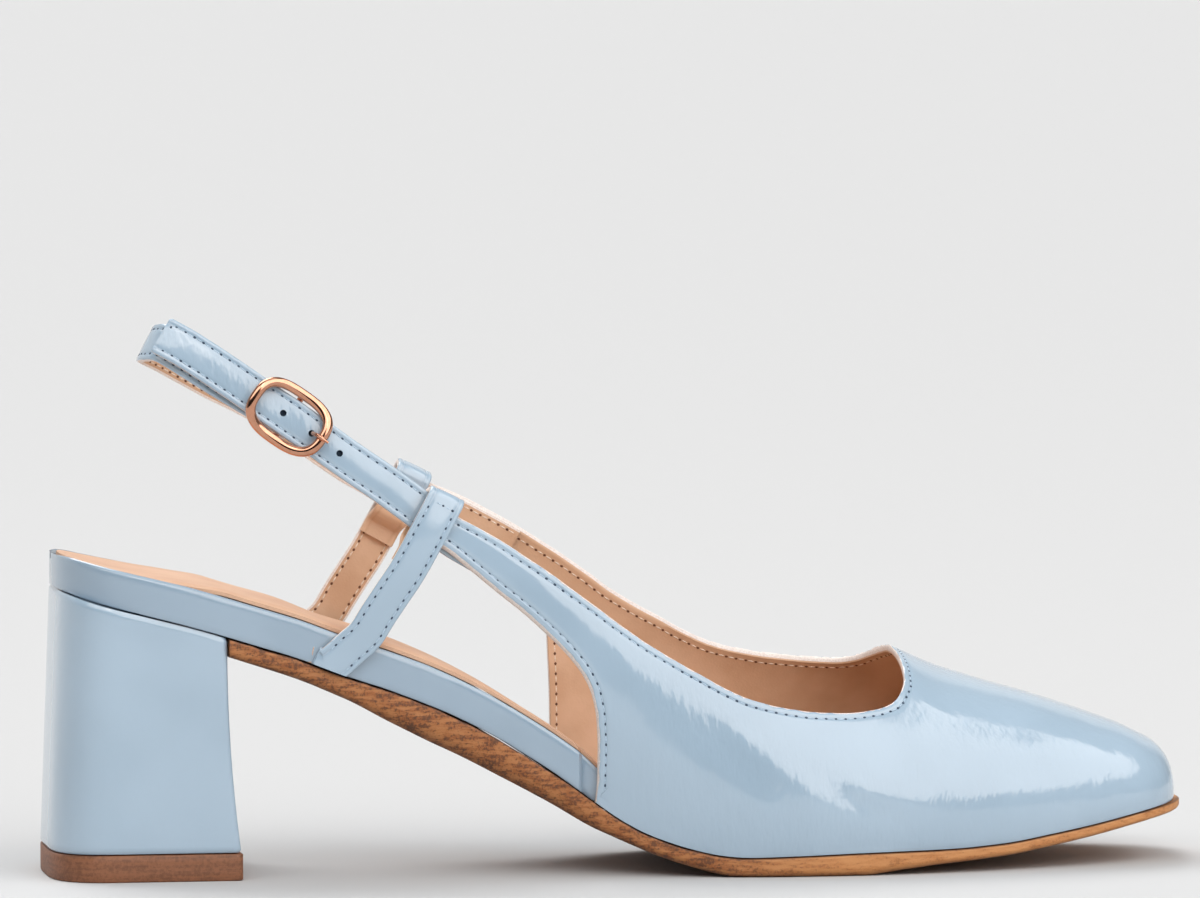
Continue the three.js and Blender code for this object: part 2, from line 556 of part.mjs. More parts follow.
function makeTopLift() {
  const chamfer = 0.4;
  const levels = [
    [0, chamfer],
    [chamfer, 0],
    [TOP_LIFT_HEIGHT, 0],
  ];
  const ringAt = ([z, inset]) => {
    return heelRing(HEEL_FRONT - inset, HEEL_TIP_BACK - inset, HEEL_TIP_WIDTH - 2 * inset, () => z);
  };
  return loft(levels.map(ringAt));
}

// Upper: one hollow shell over both halves of the last, ribs crossed by rows from lower to upper edge.
function ribEnds(index, side) {
  const rib = {};
  const rows = RIBS.map((row, i) => ({ ...row, index: i, top: row.top ?? 1 }));
  for (const column of ["lowAlong", "low", "topAlong", "top", "lift", "back"]) {
    rib[column] = read(rows, column, index, "index");
  }
  const lift = side === MEDIAL ? rib.lift : 0;
  const lowX = xAt(rib.lowAlong - (side === MEDIAL ? rib.back : 0));
  const topX = xAt(rib.topAlong);
  const lowLift = Math.min(lift, rib.low / 2);
  const throat = RIBS.findIndex((row) => row.top === null);
  const top = index >= throat ? 1 : turnAt(topX, INSTEP_RISE * (rib.top + lift));
  return { lowX, topX, low: turnAt(lowX, INSTEP_RISE * (rib.low + lowLift)), top };
}

function upperGrid(side, inset) {
  const grid = [];
  const toeStart = TOE_TIP - TOE_ROUND;
  const pull = (x) => (x > toeStart ? toeStart + ((x - toeStart) * (TOE_ROUND - inset)) / TOE_ROUND : x);
  for (let i = 0; i <= (RIBS.length - 1) * RIB_STEPS; i += 1) {
    const rib = ribEnds(i / RIB_STEPS, side);
    const row = [];
    for (let j = 0; j <= RIB_ROWS; j += 1) {
      const t = j / RIB_ROWS;
      const x = rib.lowX + (rib.topX - rib.lowX) * t;
      row.push(sectionPoint(pull(x), side, rib.low + (rib.top - rib.low) * t, inset));
    }
    grid.push(row);
  }
  return grid;
}

function makeUpper() {
  const points = [];
  const triangles = [];
  const throat = RIBS.findIndex((row) => row.top === null) * RIB_STEPS;
  const add = (grid) => {
    const start = points.length;
    points.push(...grid.flat());
    return (i, j) => start + i * (RIB_ROWS + 1) + j;
  };
  const quad = (a, b, c, d, turned) => {
    if (turned) triangles.push([a, c, b], [a, d, c]);
    else triangles.push([a, b, c], [a, c, d]);
  };
  for (const side of [LATERAL, MEDIAL]) {
    const outer = add(upperGrid(side, 0));
    const inner = add(upperGrid(side, UPPER_WALL));
    const turned = side === MEDIAL;
    const ribs = (RIBS.length - 1) * RIB_STEPS;
    for (let i = 0; i < ribs; i += 1) {
      for (let j = 0; j < RIB_ROWS; j += 1) {
        quad(outer(i, j), outer(i + 1, j), outer(i + 1, j + 1), outer(i, j + 1), turned);
        quad(inner(i, j), inner(i + 1, j), inner(i + 1, j + 1), inner(i, j + 1), !turned);
      }
      quad(inner(i, 0), inner(i + 1, 0), outer(i + 1, 0), outer(i, 0), turned);
      if (i < throat) {
        quad(outer(i, RIB_ROWS), outer(i + 1, RIB_ROWS), inner(i + 1, RIB_ROWS), inner(i, RIB_ROWS), turned);
      }
    }
    for (let j = 0; j < RIB_ROWS; j += 1) {
      quad(inner(0, j), outer(0, j), outer(0, j + 1), inner(0, j + 1), turned);
    }
  }
  return body(points, triangles);
}

// Places along a strap's line: middle, direction, outward face and the way its width runs.
function strapFrames(knots, count) {
  const curve = new THREE.CatmullRomCurve3(knots.map((knot) => knot.point), false, "centripetal");
  const frames = [];
  const lengths = knots.map((knot, i) => (i === 0 ? 0 : knot.point.distanceTo(knots[i - 1].point)));
  for (let i = 1; i < lengths.length; i += 1) lengths[i] += lengths[i - 1];
  const total = lengths[lengths.length - 1];
  for (let i = 0; i <= count; i += 1) {
    const at = (i / count) * total;
    let k = 0;
    while (k < knots.length - 2 && at > lengths[k + 1]) k += 1;
    const t = (at - lengths[k]) / (lengths[k + 1] - lengths[k]);
    const u = (k + t) / (knots.length - 1);
    const point = curve.getPoint(u);
    const forward = curve.getTangent(u);
    const out = knots[k].out.clone().lerp(knots[k + 1].out, t);
    out.addScaledVector(forward, -out.dot(forward)).normalize();
    frames.push({ point, forward, out, up: new THREE.Vector3().crossVectors(out, forward), run: at });
  }
  return frames;
}

// Ribbon of one width and thickness along frames.
function ribbon(frames, width, thickness) {
  const round = 0.35;
  const half = width / 2;
  const skin = thickness / 2;
  const outline = [
    [skin - round, half],
    [-skin + round, half],
    [-skin, half - round],
    [-skin, -half + round],
    [-skin + round, -half],
    [skin - round, -half],
    [skin, -half + round],
    [skin, half - round],
  ];
  return loft(
    frames.map(({ point, out, up }) =>
      outline.map(([o, w]) => point.clone().addScaledVector(out, o).addScaledVector(up, w)),
    ),
  );
}

// A slab along frames whose faces lie between two levels outwards, a row for each place: run, low and high.
function slab(frames, rows, width) {
  const half = width / 2;
  const total = frames[frames.length - 1].run;
  return loft(
    rows.map(([run, low, high]) => {
      const f = Math.min(frames.length - 2, Math.max(0, Math.floor((run / total) * (frames.length - 1))));
      const a = frames[f];
      const b = frames[f + 1];
      const t = (run - a.run) / (b.run - a.run);
      const point = a.point.clone().lerp(b.point, t);
      const out = a.out.clone().lerp(b.out, t).normalize();
      const up = a.up.clone().lerp(b.up, t).normalize();
      const corner = (level, across) => point.clone().addScaledVector(out, level).addScaledVector(up, across);
      return [corner(high, half), corner(low, half), corner(low, -half), corner(high, -half)];
    }),
  );
}

const wasm = await Module();
wasm.setup();

function solid(geometry) {
  const bare = geometry.clone();
  bare.deleteAttribute("normal");
  bare.deleteAttribute("uv");
  const merged = mergeVertices(bare, 1e-4);
  const vertProperties = new Float32Array(merged.getAttribute("position").array);
  const triVerts = new Uint32Array(merged.index.array);
  return new wasm.Manifold(new wasm.Mesh({ numProp: 3, vertProperties, triVerts }));
}

function toGeometry(manifold) {
  const mesh = manifold.getMesh();
  const geometry = new THREE.BufferGeometry();
  geometry.setAttribute("position", new THREE.BufferAttribute(new Float32Array(mesh.vertProperties), 3));
  geometry.setIndex(new THREE.BufferAttribute(new Uint32Array(mesh.triVerts), 1));
  geometry.computeVertexNormals();
  return geometry;
}

// Strap lines
const TUCK_DEPTH = UPPER_WALL + CLEARANCE + STRAP_THICKNESS / 2; // of the strap's middle, inside the quarter

function tuckKnots(rows, side) {
  return rows.map((row) => onLast(xAt(row.along), STRAP_RISE * row.rise, side, TUCK_DEPTH));
}

function runKnots(rows) {
  const points = rows.map((row) => {
    const x = xAt(row.along);
    return new THREE.Vector3(x, (row.out * STRAP_SPREAD) / 2, feather(x) + STRAP_RISE * row.rise);
  });
  return points.map((point, i) => {
    const before = points[Math.max(0, i - 1)];
    const after = points[Math.min(points.length - 1, i + 1)];
    const way = new THREE.Vector3().subVectors(after, before);
    const out = new THREE.Vector3(way.y, -way.x, 0).normalize();
    return { point, out };
  });
}

function leaned(knots, outward) {
  return knots.map(({ point, out }) => {
    const level = out.clone();
    if (outward(level, point) < 0) level.negate();
    level.z = STRAP_LEAN + BACK_LEAN * Math.max(0, -level.x);
    return { point, out: level.normalize() };
  });
}

// Positive where an outward direction points away from the middle of the foot's heel.
const awayFromHeel = (out, point) => out.x * (point.x - xAt(0.16)) * 0.5 + out.y * (point.y + STRAP_SPREAD / 24);

const lateralKnots = [
  ...tuckKnots(LATERAL_TUCK, LATERAL),
  ...leaned(runKnots(LATERAL_RUN), awayFromHeel),
];
const lateralFrames = strapFrames(lateralKnots, BUCKLE_STRAP_STEPS);

const medialKnots = [...tuckKnots(MEDIAL_TUCK, MEDIAL), ...leaned(runKnots(MEDIAL_RUN), awayFromHeel)];

// The frame of the buckle strap nearest to a place along the shoe.
function lateralFrameAt(x) {
  const nearest = lateralFrames.reduce((best, frame) => {
    return Math.abs(frame.point.x - x) < Math.abs(best.point.x - x) ? frame : best;
  });
  return nearest;
}

const buckle = lateralFrameAt(xAt(BUCKLE_AT));

// A place in the buckle's own directions: along the strap to the toe, up its width, and outwards.
function atBuckle(along, up, out) {
  return buckle.point
    .clone()
    .addScaledVector(buckle.forward, -along)
    .addScaledVector(buckle.up, up)
    .addScaledVector(buckle.out, out);
}

const EYE_INNER = BAR_DIAMETER / 2 + CLEARANCE; // radius round the bar, of the chape and of the prong
const EYE_OUTER = EYE_INNER + CHAPE_THICKNESS;
const BAR_OUT = -(STRAP_THICKNESS / 2 + CLEARANCE + EYE_OUTER); // level of the bar under the strap
const FRAME_OUT = STRAP_THICKNESS / 2 + CLEARANCE + FRAME_WIRE / 2; // level of the frame's ends over it

function makeBuckleStrap() {
  let strap = upright(solid(ribbon(lateralFrames, STRAP_WIDTH, STRAP_THICKNESS)));
  for (let i = 0; i < HOLE_COUNT; i += 1) {
    const along = HOLE_FIRST + (i - HOLE_AHEAD) * HOLE_PITCH;
    const centre = alongStrap(along);
    const drill = new THREE.CylinderGeometry(HOLE_DIAMETER / 2, HOLE_DIAMETER / 2, STRAP_THICKNESS * 3, 12);
    drill.applyQuaternion(new THREE.Quaternion().setFromUnitVectors(new THREE.Vector3(0, 1, 0), centre.out));
    drill.translate(centre.point.x, centre.point.y, centre.point.z);
    strap = strap.subtract(upright(solid(drill)));
  }
  return toGeometry(strap);
}

// The buckle strap's frame at a distance from the buckle's middle, towards the toe.
function alongStrap(distance) {
  const run = buckle.run - distance;
  const total = lateralFrames[lateralFrames.length - 1].run;
  const f = Math.min(lateralFrames.length - 2, Math.floor((run / total) * (lateralFrames.length - 1)));
  const a = lateralFrames[f];
  const b = lateralFrames[f + 1];
  const t = (run - a.run) / (b.run - a.run);
  return { point: a.point.clone().lerp(b.point, t), out: a.out.clone().lerp(b.out, t).normalize() };
}

// Buckle frame: a rounded oblong of round wire, its long sides dipped to the bar behind the strap.
function makeBuckleFrame() {
  const radius = FRAME_WIRE / 2;
  const halfLength = FRAME_LENGTH / 2 - radius;
  const halfHeight = FRAME_HEIGHT / 2 - radius;
  const around = 32;
  const wireSides = 8;
  const squareness = 2.8;
  const centres = [];
  for (let i = 0; i < around; i += 1) {
    const angle = (i / around) * 2 * Math.PI;
    const c = Math.cos(angle);
    const s = Math.sin(angle);
    const along = Math.sign(c) * halfLength * Math.pow(Math.abs(c), 2 / squareness);
    const up = Math.sign(s) * halfHeight * Math.pow(Math.abs(s), 2 / squareness);
    const dip = FRAME_DIP * (1 - Math.pow(along / halfLength, 2));
    centres.push(atBuckle(along, up, FRAME_OUT - dip));
  }
  const rings = centres.map((centre, i) => {
    const before = centres[(i + around - 1) % around];
    const after = centres[(i + 1) % around];
    const way = new THREE.Vector3().subVectors(after, before).normalize();
    const side = new THREE.Vector3().crossVectors(way, buckle.out).normalize();
    const level = new THREE.Vector3().crossVectors(side, way).normalize();
    return Array.from({ length: wireSides }, (_, j) => {
      const angle = (j / wireSides) * 2 * Math.PI;
      return centre
        .clone()
        .addScaledVector(side, radius * Math.cos(angle))
        .addScaledVector(level, radius * Math.sin(angle));
    });
  });
  const points = rings.flat();
  const triangles = [];
  for (let i = 0; i < around; i += 1) {
    for (let j = 0; j < wireSides; j += 1) {
      const a = i * wireSides + j;
      const b = i * wireSides + ((j + 1) % wireSides);
      const c = ((i + 1) % around) * wireSides + ((j + 1) % wireSides);
      const d = ((i + 1) % around) * wireSides + j;
      triangles.push([a, c, b], [a, d, c]);
    }
  }
  let frame = solid(body(points, triangles));
  if (frame.volume() < 0) frame = solid(body(points, triangles.map(([a, b, c]) => [a, c, b])));
  const bar = loft(
    [-halfHeight, halfHeight].map((up) => wireRing(atBuckle(0, up, BAR_OUT), buckle.forward, buckle.out, BAR_DIAMETER)),
  );
  frame = frame.add(upright(solid(bar)));
  for (const up of [-halfHeight, halfHeight]) {
    const leg = loft(
      [BAR_OUT - BAR_DIAMETER / 2, FRAME_OUT - FRAME_DIP].map((out) =>
        wireRing(atBuckle(0, up, out), buckle.forward, buckle.up, BAR_DIAMETER * 1.15),
      ),
    );
    frame = frame.add(upright(solid(leg)));
  }
  return toGeometry(frame);
}

function wireRing(centre, first, second, diameter) {
  const sides = 10;
  return Array.from({ length: sides }, (_, j) => {
    const angle = (j / sides) * 2 * Math.PI;
    return centre
      .clone()
      .addScaledVector(first, (diameter / 2) * Math.cos(angle))
      .addScaledVector(second, (diameter / 2) * Math.sin(angle));
  });
}

// The same body with its faces out.
function upright(manifold) {
  if (manifold.volume() > 0) return manifold;
  const mesh = manifold.getMesh();
  const triVerts = new Uint32Array(mesh.triVerts).map((_, i, all) => all[i - (i % 3) + ((3 - (i % 3)) % 3)]);
  return new wasm.Manifold(new wasm.Mesh({ numProp: 3, vertProperties: mesh.vertProperties, triVerts }));
}

// Prong: an eye round the bar and an arm up through the strap's hole onto the frame's end.
function makeProng() {
  const eyeOuter = EYE_INNER + PRONG_THICKNESS * 0.9;
  const half = PRONG_THICKNESS / 2;
  const over = FRAME_OUT + FRAME_WIRE / 2 + CLEARANCE + half;
  const rest = FRAME_LENGTH / 2 - FRAME_WIRE / 2;
  const line = [
    [EYE_INNER + half, BAR_OUT],
    [HOLE_FIRST - 1.6, BAR_OUT + 0.1],
    [HOLE_FIRST - 0.25, BAR_OUT + 1.1],
    [HOLE_FIRST, 0],
    [HOLE_FIRST + 0.35, FRAME_OUT],
    [rest - 0.7, over],
    [rest + 1.5, over - 0.1],
  ];
  const curve = new THREE.CatmullRomCurve3(line.map(([a, o]) => new THREE.Vector3(a, o, 0)), false, "centripetal");
  const steps = 14;
  const sideOf = (sign) =>
    curve.getPoints(steps).map((p, i) => {
      const way = curve.getTangent(i / steps);
      return new THREE.Vector2(p.x - sign * way.y * half, p.y + sign * way.x * half);
    });
  const upperSide = sideOf(1);
  const lowerSide = sideOf(-1);
  const opening = 0.42; // radians, where the arm leaves the eye
  const arc = [];
  const arcSteps = 12;
  for (let i = 0; i <= arcSteps; i += 1) {
    const angle = opening + ((2 * Math.PI - 2 * opening) * i) / arcSteps;
    arc.push(new THREE.Vector2(eyeOuter * Math.cos(angle), BAR_OUT + eyeOuter * Math.sin(angle)));
  }
  const shape = new THREE.Shape([...arc, ...lowerSide.slice(1), ...upperSide.slice(1).reverse()]);
  const hole = new THREE.Path();
  hole.absarc(0, BAR_OUT, EYE_INNER, 0, 2 * Math.PI, true);
  shape.holes.push(hole);
  const geometry = new THREE.ExtrudeGeometry(shape, { depth: PRONG_THICKNESS, bevelEnabled: false, curveSegments: 10 });
  const place = geometry.getAttribute("position");
  for (let i = 0; i < place.count; i += 1) {
    const p = atBuckle(place.getX(i), place.getZ(i) - PRONG_THICKNESS / 2, place.getY(i));
    place.setXYZ(i, p.x, p.y, p.z);
  }
  return toGeometry(upright(solid(geometry)));
}

// Sling strap: from inside the inner quarter round the heel to the bar, its end folded back round the bar.
const CHAPE_STOP = 1.5; // from the bar's middle back to where the strap runs into the eye round it
function makeSling() {
  const depth = STRAP_THICKNESS + CLEARANCE;
  const reach = buckle.point.x - CHAPE_STOP * Math.abs(buckle.forward.x);
  const follow = lateralFrames
    .filter((frame) => frame.point.x > xAt(CHAPE_FROM) && frame.point.x < reach - 1)
    .sort((a, b) => a.point.x - b.point.x)
    .map((frame) => {
      const toBar = (frame.point.x - xAt(CHAPE_FROM)) / (reach - xAt(CHAPE_FROM));
      const point = frame.point
        .clone()
        .addScaledVector(frame.out, -depth - (-BAR_OUT - depth) * Math.pow(toBar, 3))
        .addScaledVector(new THREE.Vector3(0, 0, -1), SLING_DROP * (1 - toBar * toBar));
      return { point, out: frame.out.clone() };
    });
  const knots = [
    ...medialKnots,
    ...follow,
    { point: atBuckle(-CHAPE_STOP, 0, BAR_OUT), out: buckle.out.clone() },
  ];
  const frames = strapFrames(knots, SLING_STEPS);
  const total = frames[frames.length - 1].run;
  const strap = upright(solid(ribbon(frames, STRAP_WIDTH, STRAP_THICKNESS)));
  const ring = new THREE.Shape().absarc(0, 0, EYE_OUTER, 0, 2 * Math.PI, false);
  ring.holes.push(new THREE.Path().absarc(0, 0, EYE_INNER, 0, 2 * Math.PI, true));
  const eye = inBuckle(new THREE.ExtrudeGeometry(ring, { depth: STRAP_WIDTH, bevelEnabled: false, curveSegments: 10 }));
  const low = -STRAP_THICKNESS / 2;
  const sunk = STRAP_THICKNESS / 3; // the folded end runs into the strap by this much
  const fold = [
    [total - CHAPE_LENGTH, low - CHAPE_THICKNESS * 0.2, low + sunk],
    [total - CHAPE_LENGTH * 0.9, low - CHAPE_THICKNESS, low + sunk],
    [total - CHAPE_LENGTH * 0.6, low - CHAPE_THICKNESS, low + sunk],
    [total - CHAPE_LENGTH * 0.3, low - CHAPE_THICKNESS, low + sunk],
    [total, low - CHAPE_THICKNESS * 0.4, low + sunk],
  ];
  const folded = upright(solid(slab(frames, fold, STRAP_WIDTH - 0.4)));
  const slot = new THREE.BoxGeometry(2 * EYE_OUTER + 2 * CLEARANCE, 4 * EYE_OUTER, PRONG_THICKNESS + 2 * CLEARANCE);
  slot.translate(0, 0, STRAP_WIDTH / 2);
  const passage = new THREE.CylinderGeometry(EYE_INNER, EYE_INNER, STRAP_WIDTH * 2, 20).rotateX(Math.PI / 2);
  passage.translate(0, 0, STRAP_WIDTH / 2);
  const whole = strap.add(eye).add(folded);
  return toGeometry(whole.subtract(inBuckle(slot)).subtract(inBuckle(passage)));
}

// A geometry drawn along, outwards and up the strap's width from the bar's middle, set in the buckle.
function inBuckle(geometry) {
  const place = geometry.getAttribute("position");
  for (let i = 0; i < place.count; i += 1) {
    const p = atBuckle(place.getX(i), place.getZ(i) - STRAP_WIDTH / 2, BAR_OUT + place.getY(i));
    place.setXYZ(i, p.x, p.y, p.z);
  }
  return upright(solid(geometry));
}

// Everything under the feather line at the waist, to trim what ends on the sole.
function belowFeatherLine() {
  const rings = [];
  for (let share = 0.17; share < 0.33; share += 0.02) {
    const x = xAt(share);
    const top = feather(x);
    const bottom = top - SEAT_RISE / 2;
    const at = (y, z) => new THREE.Vector3(x, y, z);
    rings.push([at(-BALL_WIDTH, bottom), at(BALL_WIDTH, bottom), at(BALL_WIDTH, top), at(-BALL_WIDTH, top)]);
  }
  return upright(solid(loft(rings)));
}

// Run along one set of frames at which another strap's middle passes closest.
function crossingRun(frames, others) {
  let best = { gap: Infinity, run: 0 };
  for (const frame of frames) {
    for (const other of others) {
      const gap = frame.point.distanceTo(other.point);
      if (gap < best.gap) best = { gap, run: frame.run };
    }
  }
  return best.run;
}

// Posts: a strip up the outside of the band, its top folded down inside round the strap.
function makePost(side, strapKnots) {
  const shift = side === MEDIAL ? POST_SETBACK : 0;
  const knots = POST.map((row) => onLast(xAt(row.along) - shift, STRAP_RISE * row.rise, side, -CLEARANCE * 1.5));
  const frames = strapFrames(knots, POST_STEPS);
  const thick = POST_THICKNESS;
  const stack = UPPER_WALL + STRAP_THICKNESS + 3.5 * CLEARANCE;
  const crossing = crossingRun(strapFrames(knots, CROSSING_STEPS), strapFrames(strapKnots, CROSSING_STEPS));
  const eyeTop = crossing + (STRAP_WIDTH + LOOP_SLACK) / 2;
  const eyeLow = crossing - (STRAP_WIDTH + LOOP_SLACK) / 2;
  const top = eyeTop + thick;
  const flapEnd = eyeLow - FLAP_LENGTH;
  const inner = -stack - thick;
  const seam = 0.05; // overlap of the joined layers
  const step = 3;
  const strip = [];
  for (let run = 0; run < eyeTop; run += step) strip.push([run, 0, thick]);
  strip.push([eyeTop + seam, 0, thick]);
  const cap = [
    [eyeTop, inner, thick],
    [top - thick * 0.5, inner, thick],
    [top - thick * 0.15, inner + thick * 0.3, thick * 0.7],
    [top, inner + thick * 0.8, thick * 0.2],
  ];
  const flap = [
    [flapEnd, -thick, seam],
    [eyeLow - FLAP_SLOPE, -thick, seam],
    [eyeLow - FLAP_SLOPE / 2, inner * 0.6, seam],
    [eyeLow, inner, seam],
  ];
  const back = [
    [eyeLow - seam, inner, -stack],
    [(eyeLow * 2 + eyeTop) / 3, inner, -stack],
    [(eyeLow + eyeTop * 2) / 3, inner, -stack],
    [eyeTop + seam, inner, -stack],
  ];
  const layers = [strip, cap, flap, back].map((rows) => upright(solid(slab(frames, rows, POST_WIDTH))));
  return toGeometry(layers.reduce((joined, layer) => joined.add(layer)).subtract(belowFeatherLine()));
}

const sandal = new THREE.Group();
function add(name, geometry, look) {
  const mesh = new THREE.Mesh(geometry, new THREE.MeshStandardMaterial(look));
  mesh.name = name;
  sandal.add(mesh);
}

add("top_lift", makeTopLift(), RUBBER);
add("heel", makeHeel(), PATENT);
add("outsole", makeOutsole(), LEATHER);
add("footbed", makeFootbed(), PATENT);
add("sock_lining", makeSock(), LINING);
add("upper", makeUpper(), PATENT);
add("post_lateral", makePost(LATERAL, lateralKnots), PATENT);
add("post_medial", makePost(MEDIAL, medialKnots), PATENT);
add("strap_lateral", makeBuckleStrap(), PATENT);
add("sling_strap", makeSling(), PATENT);
add("buckle_frame", makeBuckleFrame(), ROSE_GOLD);
add("buckle_prong", makeProng(), ROSE_GOLD);

export default sandal;
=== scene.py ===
"""A pale blue patent slingback sandal with a block heel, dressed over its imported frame.

Right shoe: +X runs to the toe, -Y to the outer side, +Z up. Sizes are in millimetres
until a piece is settled.
"""
import logging
from bisect import bisect_right
from dataclasses import dataclass, field
from enum import IntEnum
from math import asin, cos, hypot, pi, radians, sin
from typing import Callable, Iterable, Optional, Sequence, Union

import bmesh
import bpy
from mathutils import Matrix, Vector, noise


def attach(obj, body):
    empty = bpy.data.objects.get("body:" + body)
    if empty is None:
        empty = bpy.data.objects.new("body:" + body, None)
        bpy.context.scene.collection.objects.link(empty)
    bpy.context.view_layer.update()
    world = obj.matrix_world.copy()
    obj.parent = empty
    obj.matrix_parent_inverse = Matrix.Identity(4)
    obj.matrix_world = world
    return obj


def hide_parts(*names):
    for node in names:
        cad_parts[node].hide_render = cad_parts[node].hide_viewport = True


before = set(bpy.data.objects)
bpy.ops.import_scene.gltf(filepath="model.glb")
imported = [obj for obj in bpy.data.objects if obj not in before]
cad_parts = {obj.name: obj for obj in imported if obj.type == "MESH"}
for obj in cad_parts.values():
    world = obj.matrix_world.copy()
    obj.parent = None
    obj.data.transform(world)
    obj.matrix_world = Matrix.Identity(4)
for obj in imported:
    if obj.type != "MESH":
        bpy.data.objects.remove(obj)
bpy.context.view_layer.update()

LOG = logging.getLogger("sandal")
MM = 0.001
Colour = tuple[float, float, float, float]
Span = tuple[float, float]
Triple = tuple[float, float, float]
Material = bpy.types.Material
Piece = bpy.types.Object
Socket = bpy.types.NodeSocket
Rule = Callable[[float, float], float]
Ends = tuple[float, float, float, float]
Layers = Union[int, Callable[[float, float], int]]


class Side(IntEnum):
    """Which half of the right shoe, by the sign of Y."""

    LATERAL = -1
    MEDIAL = 1


class Layer(IntEnum):
    """Which finish a face takes on a piece made of several."""

    FACE = 0
    EDGE = 1
    LINING = 2


def paint(red: float, green: float, blue: float) -> Colour:
    """Linear colour from a shade as the eye names it.

    Args:
        red: Red from 0 to 255.
        green: Green from 0 to 255.
        blue: Blue from 0 to 255.

    Returns:
        The same shade as linear red, green, blue and an alpha of 1.
    """
    def linear(value: float) -> float:
        """One channel, linear."""
        value /= 255
        return value / 12.92 if value <= 0.04045 else ((value + 0.055) / 1.055) ** 2.4

    return linear(red), linear(green), linear(blue), 1.0


def ease(value: float, low: float, high: float) -> float:
    """Smooth step.

    Args:
        value: Where it is read.
        low: Value at which the step starts.
        high: Value at which it is done.

    Returns:
        0 before low, 1 after high, and a smooth rise between them.
    """
    t = min(1.0, max(0.0, (value - low) / (high - low)))
    return t * t * (3 - 2 * t)


class Table:
    """Rows of shares under named columns, read smoothly between rows and never past either row's value."""

    def __init__(self, columns: str, rows: Sequence[tuple[float, ...]]) -> None:
        """Keep the rows by column.

        Args:
            columns: Names of the columns, the first of which the rows are ordered by.
            rows: The rows.
        """
        names = columns.split()
        self.keys = [row[0] for row in rows]
        self.values = {name: [row[i] for row in rows] for i, name in enumerate(names)}
        self.tangents = {name: self._tangents(values) for name, values in self.values.items()}

    def _tangents(self, values: list[float]) -> list[float]:
        """Slope at each row of one column.

        Args:
            values: The column.

        Returns:
            Slopes that keep the curve between its rows' values.
        """
        keys = self.keys
        slopes = [(values[i + 1] - values[i]) / (keys[i + 1] - keys[i]) for i in range(len(keys) - 1)]
        inner = [0.0 if a * b <= 0 else 2 * a * b / (a + b) for a, b in zip(slopes, slopes[1:])]
        return [slopes[0], *inner, slopes[-1]]

    def read(self, column: str, key: float) -> float:
        """Value of a column at a key.

        Args:
            column: Name of the column.
            key: Where to read it.

        Returns:
            The value there.
        """
        keys, values = self.keys, self.values[column]
        if key <= keys[0]:
            return values[0]
        if key >= keys[-1]:
            return values[-1]
        i = bisect_right(keys, key) - 1
        span = keys[i + 1] - keys[i]
        t = (key - keys[i]) / span
        bends = self.tangents[column]
        rise = bends[i] * span * (t**3 - 2 * t * t + t) + bends[i + 1] * span * (t**3 - t * t)
        return values[i] + (values[i + 1] - values[i]) * (3 * t * t - 2 * t**3) + rise


# Stations of the last from the seat's back to the toe, as shares of the length, the ball width and the instep
# rise.
LAST_TABLE = Table("along centre half rise ridge bulge round low", [
    (0.0, 0.0, 0.35, 1.83, 0.03, 0.065, 0.8, 1.0),
    (0.1004, 0.0, 0.356, 1.83, 0.03, 0.065, 0.8, 1.0),
    (0.2509, -0.002, 0.346, 1.81, 0.03, 0.068, 0.8, 1.0),
    (0.3413, -0.004, 0.333, 1.78, 0.035, 0.075, 0.8, 1.0),
    (0.4115, -0.01, 0.346, 1.73, 0.04, 0.075, 0.85, 0.95),
    (0.4717, -0.014, 0.382, 1.67, 0.045, 0.06, 0.9, 0.9),
    (0.552, -0.02, 0.441, 1.56, 0.05, 0.035, 0.95, 0.7),
    (0.6223, -0.017, 0.484, 1.34, 0.058, 0.028, 1.0, 0.6),
    (0.7026, 0.002, 0.502, 1.105, 0.066, 0.026, 1.0, 0.6),
    (0.7488, 0.014, 0.498, 1.0, 0.07, 0.025, 0.98, 0.6),
    (0.7859, 0.026, 0.486, 0.897, 0.072, 0.024, 0.94, 0.6),
    (0.8261, 0.036, 0.463, 0.8, 0.072, 0.022, 0.9, 0.6),
    (0.8717, 0.046, 0.43, 0.683, 0.071, 0.02, 0.85, 0.6),
    (0.9159, 0.053, 0.388, 0.553, 0.069, 0.018, 0.82, 0.6),
    (0.9377, 0.057, 0.362, 0.482, 0.067, 0.016, 0.8, 0.6),
    (0.9548, 0.06, 0.345, 0.43, 0.066, 0.015, 0.79, 0.6),
    (0.9728, 0.062, 0.327, 0.385, 0.065, 0.015, 0.78, 0.6),
    (1.0, 0.064, 0.3, 0.36, 0.064, 0.014, 0.78, 0.6),
])
